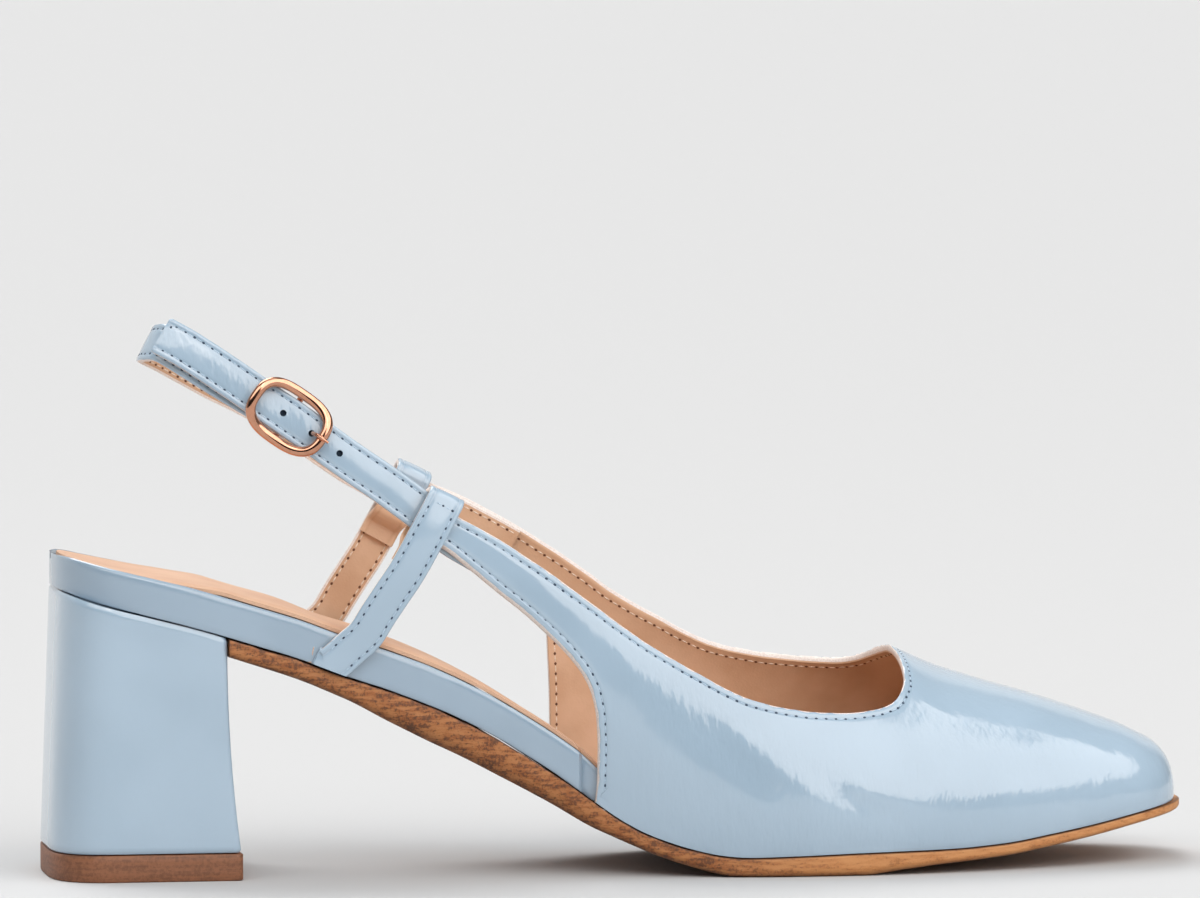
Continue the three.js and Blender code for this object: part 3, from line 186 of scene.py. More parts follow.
# The last's bottom, as shares of the seat's rise, the toe spring and the sole's thickness.
BOTTOM_TABLE = Table("along arch spring sole", [
    (0.0, 1.0, 0.0, 0.95),
    (0.0321, 0.955, 0.0, 0.95),
    (0.0758, 0.9075, 0.0, 0.95),
    (0.1194, 0.859, 0.0, 0.95),
    (0.1626, 0.802, 0.0, 0.97),
    (0.2068, 0.743, 0.0, 1.03),
    (0.2444, 0.682, 0.0, 1.12),
    (0.2891, 0.617, 0.0, 1.58),
    (0.3307, 0.547, 0.0, 1.82),
    (0.3709, 0.463, 0.0, 1.84),
    (0.405, 0.377, 0.0, 1.72),
    (0.4281, 0.314, 0.0, 1.6),
    (0.4577, 0.224, 0.0, 1.4),
    (0.4873, 0.135, 0.0, 1.0),
    (0.5084, 0.087, 0.0, 0.88),
    (0.5295, 0.053, 0.0, 0.88),
    (0.551, 0.026, 0.0, 0.9),
    (0.5731, 0.007, 0.0, 0.98),
    (0.5947, 0.0, 0.0, 1.1),
    (0.6404, 0.0, 0.03, 1.2),
    (0.6855, 0.0, 0.07, 1.2),
    (0.7307, 0.0, 0.095, 0.95),
    (0.7779, 0.0, 0.12, 0.73),
    (0.8251, 0.0, 0.2, 0.66),
    (0.8712, 0.0, 0.38, 0.64),
    (0.9188, 0.0, 0.6, 0.6),
    (0.966, 0.0, 0.85, 0.56),
    (1.0, 0.0, 1.0, 0.52),
])
# Ribs of the upper from the quarter's tab to the toe: both ends, and the inner side's lift and setback.
RIB_ROWS = [
    (0.3172, 0.882, 0.3322, 1.088, 0.069, 0.0),
    (0.3342, 0.865, 0.3493, 1.044, 0.113, 0.0),
    (0.3588, 0.818, 0.3814, 1.039, 0.14, 0.0),
    (0.3804, 0.779, 0.403, 1.032, 0.157, 0.0),
    (0.4015, 0.754, 0.4246, 1.027, 0.172, 0.0),
    (0.4216, 0.72, 0.4462, 1.022, 0.187, 0.0),
    (0.4386, 0.688, 0.4682, 1.021, 0.199, 0.0),
    (0.4532, 0.639, 0.4898, 1.012, 0.206, 0.003),
    (0.4622, 0.558, 0.5114, 0.988, 0.201, 0.0065),
    (0.4662, 0.435, 0.533, 0.956, 0.202, 0.0095),
    (0.4672, 0.283, 0.5571, 0.914, 0.206, 0.0095),
    (0.4667, 0.118, 0.5817, 0.857, 0.206, 0.0095),
    (0.4647, 0.0, 0.6047, 0.806, 0.203, 0.0095),
    (0.5074, 0.0, 0.6313, 0.764, 0.201, 0.004),
    (0.5611, 0.0, 0.6599, 0.735, 0.198, 0.0),
    (0.6148, 0.0, 0.689, 0.723, 0.188, 0.0),
    (0.6685, 0.0, 0.7126, 0.732, 0.171, 0.0),
    (0.7136, 0.0, 0.7302, 0.764, 0.153, 0.0),
    (0.7508, 0.0, 0.7397, 0.816, 0.13, 0.0),
    (0.7839, 0.0, 0.7453, 0.872, 0.098, 0.0),
    (0.813, 0.0, 0.7476, 0.936, 0.047, 0.0),
    (0.8376, 0.0, 0.7484, 0.98, 0.012, 0.0),
    (0.8602, 0.0, 0.7488, 1.0, 0.0, 0.0),
    (0.8828, 0.0, 0.7899, 1.0, 0.0, 0.0),
    (0.9047, 0.0, 0.8331, 1.0, 0.0, 0.0),
    (0.9256, 0.0, 0.8742, 1.0, 0.0, 0.0),
    (0.945, 0.0, 0.9105, 1.0, 0.0, 0.0),
    (0.9606, 0.0, 0.9387, 1.0, 0.0, 0.0),
    (0.9742, 0.0, 0.9621, 1.0, 0.0, 0.0),
    (0.9854, 0.0, 0.9786, 1.0, 0.0, 0.0),
    (0.9927, 0.0, 0.99, 1.0, 0.0, 0.0),
    (0.9976, 0.0, 0.9968, 1.0, 0.0, 0.0),
    (1.0, 0.0, 1.0, 1.0, 0.0, 0.0),
]
RIB_TABLE = Table("rib low_along low top_along top lift back", [(i, *row) for i, row in enumerate(RIB_ROWS)])
THROAT_RIB = 22
CUTOUT_RIB = 12
# Insole board: its height, how far it lies inside the upper, and how deep its top is sunk for the sock.
BOARD_TABLE = Table("along height inside sunk", [
    (0.0, 0.84, 0.0, 1.1),
    (0.012, 0.92, 0.0, 1.2),
    (0.033, 0.96, 0.0, 1.25),
    (0.075, 0.985, 0.0, 1.2),
    (0.11, 1.0, 0.0, 0.8),
    (0.15, 1.0, 0.0, 0.0),
    (0.4502, 1.0, 0.0, 0.0),
    (0.4542, 0.99, 1.0, 0.0),
    (0.48, 0.78, 1.0, 0.0),
    (0.512, 0.45, 1.0, 0.0),
    (0.542, 0.35, 1.0, 0.0),
    (1.0, 0.33, 1.0, 0.0),
])
# The heel pad's rise over the sock.
PAD_TABLE = Table("along rise", [
    (0.0, 0.0), (0.06, 0.0), (0.1, 0.6), (0.16, 0.5), (0.2, 1.0), (0.235, 0.6), (0.27, 1.0), (0.36, 0.6),
    (0.44, 0.0), (1.0, 0.0),
])
# Middle line of a post, from the sole up to the top of its loop.
POST_ROWS = [
    (0.2168, -0.05), (0.2278, 0.005), (0.2524, 0.124), (0.2625, 0.176), (0.274, 0.267), (0.2861, 0.36),
    (0.2996, 0.464), (0.3172, 0.622), (0.3347, 0.783), (0.3377, 0.815), (0.3438, 0.88),
]
# Where the straps lie inside the quarters and loops.
LATERAL_TUCK = [(0.3965, 0.629), (0.3714, 0.64), (0.3408, 0.655), (0.3257, 0.683), (0.3096, 0.71)]
MEDIAL_TUCK = [(0.4216, 0.757), (0.4, 0.748), (0.3764, 0.74), (0.3423, 0.74), (0.3257, 0.74), (0.3091, 0.74)]
# The straps behind the loops: along, rise, and how far out as a share of half their spread.
LATERAL_RUN = [
    (0.2856, 0.741, -0.98), (0.2514, 0.791, -0.965), (0.2248, 0.829, -0.95), (0.1997, 0.867, -0.925),
    (0.1772, 0.902, -0.885), (0.1541, 0.94, -0.83), (0.1139, 1.002, -0.705), (0.0913, 1.031, -0.61),
]
MEDIAL_RUN = [
    (0.2911, 0.75, 0.975), (0.277, 0.762, 0.955), (0.2354, 0.82, 0.87), (0.1917, 0.874, 0.73),
    (0.147, 0.912, 0.56), (0.124, 0.935, 0.46), (0.104, 0.958, 0.34), (0.0905, 0.971, 0.17),
    (0.086, 0.98, -0.06), (0.0873, 0.991, -0.28), (0.0955, 1.0, -0.46),
]


@dataclass(frozen=True)
class Last:
    """The form that the shoe is made on, and the shoe's own driving sizes."""

    length: float = 242.4
    heel_back: float = 16.0
    ball_width: float = 71.0
    seat_rise: float = 57.3
    toe_spring: float = 8.8
    ball_height: float = 4.2
    instep_rise: float = 40.7
    toe_round: float = 17.4
    seat_round: float = 24.0
    toe_squareness: float = 3.0
    seat_squareness: float = 2.5
    section_lift: float = 0.8
    strap_rise: float = 58.0
    clearance: float = 0.3
    wall: float = 1.7

    @property
    def tip(self) -> float:
        """Where the toe ends."""
        return self.length - self.heel_back

    @property
    def toe_start(self) -> float:
        """Where the toe starts to round off."""
        return self.tip - self.toe_round

    @property
    def seat_start(self) -> float:
        """Where the seat starts to round off."""
        return self.seat_round - self.heel_back

    def share(self, x: float) -> float:
        """Share of the length at x."""
        return (x + self.heel_back) / self.length

    def at(self, share: float) -> float:
        """The x at a share of the length."""
        return share * self.length - self.heel_back

    def feather(self, x: float) -> float:
        """Height of the feather line.

        Args:
            x: Place along the shoe.

        Returns:
            Its height over the floor.
        """
        share = self.share(x)
        arch, spring = BOTTOM_TABLE.read("arch", share), BOTTOM_TABLE.read("spring", share)
        return self.ball_height + self.seat_rise * arch + self.toe_spring * spring

    def closing(self, x: float, inset: float) -> float:
        """How far the outline has closed in.

        Args:
            x: Place along the shoe.
            inset: How far inside the outline.

        Returns:
            1 on the straight and 0 at the very end.
        """
        if x > self.toe_start:
            u, power = min(1.0, (x - self.toe_start) / (self.toe_round - inset)), self.toe_squareness
        elif x < self.seat_start:
            u, power = min(1.0, (self.seat_start - x) / (self.seat_round - inset)), self.seat_squareness
        else:
            return 1.0
        return max(0.0, 1 - u**power) ** (1 / power)

    def edge(self, x: float, side: int, inset: float, end_inset: Optional[float] = None) -> float:
        """The outline's edge on one side.

        Args:
            x: Place along the shoe.
            side: Which side.
            inset: How far inside the outline at the sides.
            end_inset: The same at both ends, or None for the same value.

        Returns:
            The y of the edge.
        """
        share = self.share(x)
        half = self.ball_width * LAST_TABLE.read("half", share) - inset
        closed = self.closing(x, inset if end_inset is None else end_inset)
        return self.ball_width * LAST_TABLE.read("centre", share) + side * half * closed

    def section(self, x: float, side: int, turn: float, inset: float) -> Vector:
        """A point of the last's section.

        Args:
            x: Place along the shoe.
            side: Which side.
            turn: 0 at the feather line to 1 at the ridge.
            inset: Depth under the surface.

        Returns:
            The point.
        """
        share = self.share(x)
        angle = turn * pi / 2
        closed = self.closing(x, inset)
        ridge = self.ball_width * LAST_TABLE.read("ridge", share)
        bulge = self.ball_width * LAST_TABLE.read("bulge", share) * closed
        foot = self.edge(x, side, inset)
        rise = (self.instep_rise * LAST_TABLE.read("rise", share) - inset) * closed
        swell = side * bulge * sin(pi * turn ** LAST_TABLE.read("low", share))
        across = max(0.0, cos(angle)) ** LAST_TABLE.read("round", share)
        y = ridge + (foot - ridge) * across + swell if closed > 0 else foot
        return Vector((x, y, self.feather(x) + rise * max(0.0, sin(angle)) ** self.section_lift))

    def turn_at(self, x: float, height: float) -> float:
        """The turn at which a section reaches a height over the feather line.

        Args:
            x: Place along the shoe.
            height: Height over the feather line.

        Returns:
            The turn there.
        """
        full = self.instep_rise * LAST_TABLE.read("rise", self.share(x))
        return asin(min(1.0, max(0.0, height / full)) ** (1 / self.section_lift)) * 2 / pi

    def spot(self, x: float, height: float, side: int, depth: float) -> tuple[Vector, Vector]:
        """A point under the last's surface.

        Args:
            x: Place along the shoe.
            height: Height over the feather line.
            side: Which side.
            depth: Depth under the surface.

        Returns:
            The point and the outward direction there.
        """
        step = 0.5
        here = self.section(x, side, self.turn_at(x, height), 0)
        level = height + self.feather(x) - self.feather(x + step)
        ahead = self.section(x + step, side, self.turn_at(x + step, level), 0)
        above = self.section(x, side, self.turn_at(x, height + step), 0)
        out = (ahead - here).cross(above - here).normalized()
        if out.y * side < 0:
            out.negate()
        return here - out * depth, out


LAST = Last()


class Shell:
    """One piece's mesh in the making: grids laid by a rule, welded, shaped and settled into the scene."""

    def __init__(self, name: str) -> None:
        """Start an empty mesh.

        Args:
            name: Name of the piece.
        """
        self.name = name
        self.mesh = bmesh.new()
        self.lift = self.mesh.verts.layers.float.new("lift")
        # Per-point painted shade, which the materials read to darken grooves, strap edges and the sole's edge
        # lines.
        self.tone = self.mesh.verts.layers.float.new("tone")

    def lay(self, along: int, across: int, place: Callable[[float, float], Vector],
            layer: Layers = Layer.FACE, lift: Optional[Rule] = None, tone: Optional[Rule] = None) -> None:
        """Lay a grid over a surface.

        Args:
            along: Faces along the surface.
            across: Faces across it.
            place: Point at two shares, along and across.
            layer: Finish of its faces, or a rule for it at a face's middle.
            lift: Rule for how far each point is raised along its normal once the piece is welded.
            tone: Rule for the painted shade at each point, from 0 to 1.
        """
        made = bmesh.ops.create_grid(self.mesh, x_segments=along, y_segments=across, size=0.5)["verts"]
        shares = {}
        for vert in made:
            s = round((vert.co.x + 0.5) * along) / along
            t = round((vert.co.y + 0.5) * across) / across
            shares[vert] = (s, t)
            vert.co = place(s, t) * MM
            vert[self.lift] = lift(s, t) if lift else 0.0
            vert[self.tone] = tone(s, t) if tone else 0.0
        for face in {face for vert in made for face in vert.link_faces}:
            face.smooth = True
            if callable(layer):
                spots = [shares[vert] for vert in face.verts]
                face.material_index = layer(sum(s for s, _ in spots) / 4, sum(t for _, t in spots) / 4)
            else:
                face.material_index = layer

    def weld(self, fill: bool = True) -> None:
        """Join what lies in the same place, close the open ends and turn the faces outwards.

        Args:
            fill: Whether open ends get a face.
        """
        bmesh.ops.remove_doubles(self.mesh, verts=self.mesh.verts, dist=2e-6)
        bmesh.ops.dissolve_degenerate(self.mesh, edges=self.mesh.edges, dist=1e-7)
        self.close(fill)

    def close(self, fill: bool = True) -> None:
        """Close the open ends, unless told not to, and turn the faces outwards."""
        rims = [edge for edge in self.mesh.edges if edge.is_boundary]
        if fill and rims:
            bmesh.ops.holes_fill(self.mesh, edges=rims, sides=0)
        bmesh.ops.recalc_face_normals(self.mesh, faces=self.mesh.faces)

    def emboss(self) -> None:
        """Raise each point along its normal by what its lift says."""
        self.mesh.normal_update()
        moves = [(vert, vert.normal * (vert[self.lift] * MM)) for vert in self.mesh.verts if vert[self.lift]]
        for vert, move in moves:
            vert.co += move

    def settle(self, finishes: Sequence[Material], nodes: Sequence[str] = (),
               sharp: float = 38.0) -> Piece:
        """Turn the mesh into a piece of the shoe.

        Args:
            finishes: Materials, in the order of the layers.
            nodes: The frame's nodes that it stands for.
            sharp: Angle in degrees past which an edge shows as a corner.

        Returns:
            The piece.
        """
        data = bpy.data.meshes.new(self.name)
        self.mesh.to_mesh(data)
        self.mesh.free()
        for finish in finishes:
            data.materials.append(finish)
        data.set_sharp_from_angle(angle=radians(sharp))
        piece = bpy.data.objects.new(self.name, data)
        bpy.context.scene.collection.objects.link(piece)
        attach(piece, "root")
        if nodes:
            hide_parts(*nodes)
        LOG.info("%s: %d faces", self.name, len(data.polygons))
        return piece


def pierce(piece: Piece, cutter: Shell, wall: Material) -> None:
    """Cut holes through a piece.

    Args:
        piece: The piece.
        cutter: Closed shapes to take away from it.
        wall: Finish inside the holes.
    """
    data = bpy.data.meshes.new(cutter.name)
    data.materials.append(wall)
    cutter.mesh.to_mesh(data)
    cutter.mesh.free()
    tool = bpy.data.objects.new(cutter.name, data)
    bpy.context.scene.collection.objects.link(tool)
    cut = piece.modifiers.new("holes", "BOOLEAN")
    cut.operation = "DIFFERENCE"
    cut.solver = "EXACT"
    cut.material_mode = "TRANSFER"
    cut.object = tool
    bpy.context.view_layer.update()
    shaped = bpy.data.meshes.new_from_object(piece.evaluated_get(bpy.context.evaluated_depsgraph_get()))
    piece.modifiers.clear()
    before = piece.data
    piece.data = shaped
    shaped.name = piece.name
    bpy.data.meshes.remove(before)
    bpy.data.objects.remove(tool)
    bpy.data.meshes.remove(data)


class Spline:
    """Centripetal curve through points, as the frame's straps follow."""

    def __init__(self, points: Sequence[Vector]) -> None:
        """Keep the points.

        Args:
            points: What the curve runs through.
        """
        self.points = [point.copy() for point in points]

    def at(self, share: float) -> Vector:
        """A point of the curve.

        Args:
            share: Share of its spans, 0 to 1.

        Returns:
            The point.
        """
        points = self.points
        last = len(points) - 1
        p = last * share
        k = min(last - 1, int(p))
        w = p - k
        one, two = points[k], points[k + 1]
        zero = points[k - 1] if k > 0 else points[0] * 2 - points[1]
        three = points[k + 2] if k + 2 <= last else points[last] * 2 - points[last - 1]
        span = (two - one).length ** 0.5
        before = (one - zero).length ** 0.5
        after = (three - two).length ** 0.5
        start = (one - zero) / before - (two - zero) / (before + span) + (two - one) / span
        end = (two - one) / span - (three - one) / (span + after) + (three - two) / after
        start, end = start * span, end * span
        bend, twist = (two - one) * 3 - start * 2 - end, (one - two) * 2 + start + end
        return one + start * w + bend * (w * w) + twist * (w * w * w)

    def way(self, share: float) -> Vector:
        """Direction of the curve at a share of its spans."""
        return (self.at(min(1.0, share + 1e-4)) - self.at(max(0.0, share - 1e-4))).normalized()


@dataclass
class Knot:
    """A point that a strap's middle runs through, and the way its outer face looks there."""

    point: Vector
    out: Vector


@dataclass
class Spot:
    """A place on a strap's middle line."""

    point: Vector
    forward: Vector
    out: Vector
    up: Vector
    run: float

    def off(self, level: float, across: float) -> Vector:
        """A point off the middle, by its level outwards and its place across the width."""
        return self.point + self.out * level + self.up * across


class Track:
    """Places along a strap, evenly spread over its length."""

    def __init__(self, knots: Sequence[Knot], count: int) -> None:
        """Work out the places.

        Args:
            knots: What the strap's middle runs through.
            count: How many steps.
        """
        curve = Spline([knot.point for knot in knots])
        lengths = [0.0]
        for a, b in zip(knots, knots[1:]):
            lengths.append(lengths[-1] + (b.point - a.point).length)
        self.total = lengths[-1]
        self.spots: list[Spot] = []
        k = 0
        for i in range(count + 1):
            run = i / count * self.total
            while k < len(knots) - 2 and run > lengths[k + 1]:
                k += 1
            t = (run - lengths[k]) / (lengths[k + 1] - lengths[k])
            share = (k + t) / (len(knots) - 1)
            forward = curve.way(share)
            out = knots[k].out.lerp(knots[k + 1].out, t)
            out = (out - forward * out.dot(forward)).normalized()
            self.spots.append(Spot(curve.at(share), forward, out, out.cross(forward), run))

    def at(self, run: float) -> Spot:
        """The place at a length along the strap.

        Args:
            run: Length from its start, which may lie a little past either end.

        Returns:
            The place.
        """
        count = len(self.spots) - 1
        i = min(count - 1, max(0, int(run / self.total * count)))
        a, b = self.spots[i], self.spots[i + 1]
        t = (run - a.run) / (b.run - a.run)
        out, up = a.out.lerp(b.out, t).normalized(), a.up.lerp(b.up, t).normalized()
        return Spot(a.point.lerp(b.point, t), up.cross(out).normalized(), out, up, run)


@dataclass(frozen=True)
class StrapSection:
    """Cross-section of a folded and lined strap: patent face and edges, lining sunk between the edges."""

    width: float = 8.3
    thickness: float = 1.6
    round: float = 0.42
    seam: float = 1.25
    groove: float = 0.13
    crown: float = 0.1
    lip: float = 0.55

    def ring(self) -> list[tuple[float, float, Layer, float]]:
        """The section as a closed ring.

        Returns:
            Level outwards, place across, finish of the stretch that follows, and tone, for each point.
        """
        half, skin, r = self.width / 2, self.thickness / 2, self.round
        seam, crown, shoulder = half - self.seam, self.crown, 0.35
        # Each point's last value is painted shade, darkest in the stitched groove.
        row = [
            (0.0, crown, 0.0), (half * 0.3, crown * 0.9, 0.0), (seam - 0.8, crown * 0.4, 0.05),
            (seam - shoulder, 0.0, 0.25), (seam, -self.groove, 1.0), (seam + shoulder, 0.0, 0.25),
            (half - r - 0.1, 0.03, 0.0),
        ]
        face = [(skin + rise, w, Layer.FACE, tone) for w, rise, tone in row]
        arc = [(skin - r + r * cos(a), half - r + r * sin(a), Layer.FACE, 0.0) for a in (0.4, 0.9)]
        arc += [(skin - r, half, Layer.EDGE, 0.0)]
        # The lining takes painted shade at the edge's fold and along the seam line.
        edge = [(-skin * 0.35, half, Layer.EDGE, 0.1), (-skin + 0.12, half - 0.1, Layer.EDGE, 0.4),
                (-skin, half - self.lip, Layer.LINING, 0.6)]
        back = [(-skin - 0.02, seam, Layer.LINING, 0.5), (-skin - 0.03, half * 0.35, Layer.LINING, 0.0)]
        upper = [*face, *arc, *edge, *back]
        lower = [(level, -w, layer, tone) for level, w, layer, tone in upper[:0:-1]]
        shifted = [layer for _, _, layer, _ in upper[::-1]]
        lower = [(level, w, shifted[i + 1], tone) for i, (level, w, _, tone) in enumerate(lower)]
        return [*upper, *lower]


def sweep(shell: Shell, spots: Sequence[Spot], ring: Sequence[tuple[float, float, Layer, float]],
          scale: Optional[Callable[[float], Span]] = None,
          ripple: Optional[Callable[[Spot], float]] = None,
          lined: Optional[Callable[[float], bool]] = None) -> None:
    """Run a section along a strap.

    Args:
        shell: The piece being made.
        spots: Places along the strap.
        ring: The section.
        scale: Rule for the section's scale outwards and across at a share of the strap.
        ripple: Rule for how far the strap's middle is off, in millimetres.
        lined: Rule for where the whole section takes the lining.
    """
    count = len(ring)

    def place(s: float, t: float) -> Vector:
        """Point of the strap's skin."""
        spot = spots[round(s * (len(spots) - 1))]
        level, across, _, _ = ring[round(t * count) % count]
        thick, wide = scale(s) if scale else (1.0, 1.0)
        return spot.off(level * thick + (ripple(spot) if ripple else 0.0), across * wide)

    def layer(s: float, t: float) -> int:
        """Finish of a face."""
        if lined and lined(s):
            return Layer.LINING
        return ring[int(t * count) % count][2]

    shell.lay(len(spots) - 1, count, place, layer, tone=lambda s, t: ring[round(t * count) % count][3])


# Materials


class Signal:
    """A value on a wire of a material, for arithmetic in plain expressions."""

    def __init__(self, bench: "Bench", socket: Socket) -> None:
        """Wrap a socket.

        Args:
            bench: The material being made.
            socket: The socket that gives the value.
        """
        self.bench = bench
        self.socket = socket

    def _math(self, operation: str, *terms: "Term") -> "Signal":
        """Add a Math node.

        Args:
            operation: Its operation.
            terms: Its inputs in order.

        Returns:
            Its result.
        """
        node = self.bench.add("ShaderNodeMath", {"operation": operation}, dict(enumerate(terms)))
        return Signal(self.bench, node.outputs[0])

    def __add__(self, other: "Term") -> "Signal":
        """Sum."""
        return self._math("ADD", self, other)

    __radd__ = __add__

    def __sub__(self, other: "Term") -> "Signal":
        """Difference."""
        return self._math("SUBTRACT", self, other)

    def __rsub__(self, other: "Term") -> "Signal":
        """Difference from a number."""
        return self._math("SUBTRACT", other, self)

    def __mul__(self, other: "Term") -> "Signal":
        """Product."""
        return self._math("MULTIPLY", self, other)

    __rmul__ = __mul__

    def peak(self, other: "Term") -> "Signal":
        """The greater of both."""
        return self._math("MAXIMUM", self, other)

    def least(self, other: "Term") -> "Signal":
        """The lesser of both."""
        return self._math("MINIMUM", self, other)

    def around(self, other: "Term") -> "Signal":
        """Angle of this over the other, in radians."""
        return self._math("ARCTAN2", self, other)

    def arc(self) -> "Signal":
        """Arcsine."""
        return self._math("ARCSINE", self)

    def step(self, low: float, high: float) -> "Signal":
        """Smooth step.

        Args:
            low: Value that gives 0.
            high: Value that gives 1.

        Returns:
            The step.
        """
        node = self.bench.add("ShaderNodeMapRange", {"interpolation_type": "SMOOTHSTEP"},
                              {"Value": self, "From Min": low, "From Max": high})
        return Signal(self.bench, node.outputs[0])


Term = Union[Signal, float]


class Bench:
    """A material in the making."""

    def __init__(self, holder: Union[Material, bpy.types.World]) -> None:
        """Start an empty node tree.

        Args:
            holder: The material or world that it belongs to.
        """
        self.holder = holder
        self.holder.use_nodes = True
        self.tree = self.holder.node_tree
        self.tree.nodes.clear()

    def add(self, kind: str, settings: Optional[dict] = None,
            inputs: Optional[dict] = None) -> bpy.types.Node:
        """Add a node.

        Args:
            kind: Its type.
            settings: Its settings, set before its inputs. A ramp's stops go under "stops".
            inputs: Values, or signals and sockets to link, by the input's name or place.

        Returns:
            The node.
        """
        node = self.tree.nodes.new(kind)
        for name, value in (settings or {}).items():
            if name == "stops":
                marks = node.color_ramp.elements
                while len(marks) < len(value):
                    marks.new(0.5)
                for mark, (spot, colour) in zip(marks, value):
                    mark.position, mark.color = spot, colour
            else:
                setattr(node, name, value)
        for name, value in (inputs or {}).items():
            socket = node.inputs[name]
            if isinstance(value, Signal):
                value = value.socket
            if isinstance(value, Socket):
                self.tree.links.new(value, socket)
            else:
                socket.default_value = value
        return node

    def spot(self, scale: Triple = (1.0, 1.0, 1.0),
             turn: Triple = (0.0, 0.0, 0.0)) -> Socket:
        """Place on the object.

        Args:
            scale: Stretch of the pattern along each axis.
            turn: Turn of it round each axis, in radians.

        Returns:
            Its coordinates in metres, stretched and turned.
        """
        here = self.add("ShaderNodeTexCoord").outputs["Object"]
        if scale == (1.0, 1.0, 1.0) and turn == (0.0, 0.0, 0.0):
            return here
        inputs = {"Vector": here, "Scale": scale, "Rotation": turn}
        return self.add("ShaderNodeMapping", {}, inputs).outputs[0]

    def axis(self, name: str) -> Signal:
        """One coordinate of the place, in metres."""
        return Signal(self, self.add("ShaderNodeSeparateXYZ", {}, {0: self.spot()}).outputs[name])

    def cloud(self, scale: float, detail: float = 2.0, rough: float = 0.5,
              stretch: Triple = (1.0, 1.0, 1.0),
              turn: Triple = (0.0, 0.0, 0.0)) -> Signal:
        """Noise over the surface.

        Args:
            scale: Waves per metre.
            detail: How many finer layers.
            rough: How strong they are.
            stretch: Stretch along each axis.
            turn: Turn round each axis.

        Returns:
            Values round 0.5.
        """
        node = self.add("ShaderNodeTexNoise", {}, {
            "Vector": self.spot(stretch, turn), "Scale": scale, "Detail": detail, "Roughness": rough})
        return Signal(self, node.outputs[0])

    def cells(self, scale: float) -> Signal:
        """Distance to the nearest of scattered points, so many per metre."""
        node = self.add("ShaderNodeTexVoronoi", {"feature": "F1"}, {"Vector": self.spot(), "Scale": scale})
        return Signal(self, node.outputs["Distance"])

    def tone(self) -> Signal:
        """The piece's painted shade, laid down with its mesh."""
        return Signal(self, self.add("ShaderNodeAttribute", {"attribute_name": "tone"}).outputs["Fac"])

    def mix(self, share: Term, first: Union[Colour, Socket],
            second: Union[Colour, Socket]) -> Socket:
        """Mix two colours.

        Args:
            share: How much of the second.
            first: One colour.
            second: The other.

        Returns:
            The mixed colour.
        """
        node = self.add("ShaderNodeMix", {"data_type": "RGBA"}, {0: share, 6: first, 7: second})
        return node.outputs[2]

    def relief(self, height: Signal, depth: float) -> Socket:
        """Bump from a height.

        Args:
            height: Height of the surface, in parts of the depth.
            depth: What 1 stands for, in millimetres.

        Returns:
            The normal.
        """
        node = self.add("ShaderNodeBump", {}, {"Strength": 1.0, "Distance": depth * MM, "Height": height})
        return node.outputs[0]

    def finish(self, colour: Union[Colour, Socket], roughness: Term,
               normal: Optional[Socket] = None, **fixed: Union[float, Colour]) -> Material:
        """Close the material.

        Args:
            colour: Base colour.
            roughness: Roughness.
            normal: Normal, or None for the plain one.
            fixed: Other inputs of the shader, with underscores for spaces.

        Returns:
            The material.
        """
        inputs = {"Base Color": colour, "Roughness": roughness}
        inputs.update({name.replace("_", " "): value for name, value in fixed.items()})
        if normal is not None:
            inputs["Normal"] = normal
        shader = self.add("ShaderNodeBsdfPrincipled", {}, inputs)
        self.add("ShaderNodeOutputMaterial", {}, {"Surface": shader.outputs[0]})
        return self.holder


@dataclass(frozen=True)
class Patent:
    """Pale blue patent leather: a glossy skin with fine crinkles under a thin even coat."""

    name: str = "patent_blue"
    colour: Colour = paint(158, 179, 196)
    # Colour of the painted shade in the stitched grooves.
    deep: Colour = paint(130, 152, 172)
    light: Colour = paint(163, 184, 201)
    wave: float = 0.05
    grain: float = 0.006
    crinkle: float = 0.11

    def build(self) -> Material:
        """Make the material.

        Returns:
            The finish.
        """
        bench = Bench(bpy.data.materials.new(self.name))
        broad = bench.cloud(45, 1.5)
        fine = bench.cloud(900, 2.0)
        supple = bench.axis("X").step(0.085, 0.12).peak(bench.axis("Z").step(0.085, 0.1)) * 0.85 + 0.15
        veins = bench.cloud(560, 2.0, 0.55, (1.0, 1.0, 0.4), (0.0, 0.2, 0.0)) * supple
        seam = bench.tone()
        base = bench.mix(broad.step(0.35, 0.65), self.colour, self.light)
        # Painted shade: the stitched grooves darken towards deep.
        base = bench.mix(seam * 0.35, base, self.deep)
        height = broad * (self.wave / 0.1) + fine * (self.grain / 0.1) + veins * (self.crinkle / 0.1)
        normal = bench.relief(height, 0.1)
        gloss = 0.07 + 0.05 * fine + 0.25 * seam
        return bench.finish(base, gloss, normal, Coat_Weight=0.25, Coat_Roughness=0.05, IOR=1.72,
                            Specular_Tint=(1.0, 0.9, 0.82, 1.0))


@dataclass(frozen=True)
class Lining:
    """Tan lining leather, matt, with a fine grain, darker patches, and painted shade along the strap and post
    edges and seams.
    """

    name: str = "lining_tan"
    colour: Colour = paint(211, 173, 143)
    deep: Colour = paint(192, 152, 120)
    grain: float = 0.035

    def build(self) -> Material:
        """Make the material.

        Returns:
            The finish.
        """
        bench = Bench(bpy.data.materials.new(self.name))
        patchy = bench.cloud(70, 3.0)
        pores = bench.cells(1900)
        fibre = bench.cloud(1600, 3.0, 0.6)
        base = bench.mix(patchy.step(0.3, 0.75), self.colour, self.deep)
        # Painted shade at the strap and post edges and seams, towards deep.
        base = bench.mix((bench.tone() * 0.5).least(1.0), base, self.deep)
        normal = bench.relief(pores * 0.6 + fibre * 0.5, self.grain)
        return bench.finish(base, 0.5 + 0.15 * fibre, normal)


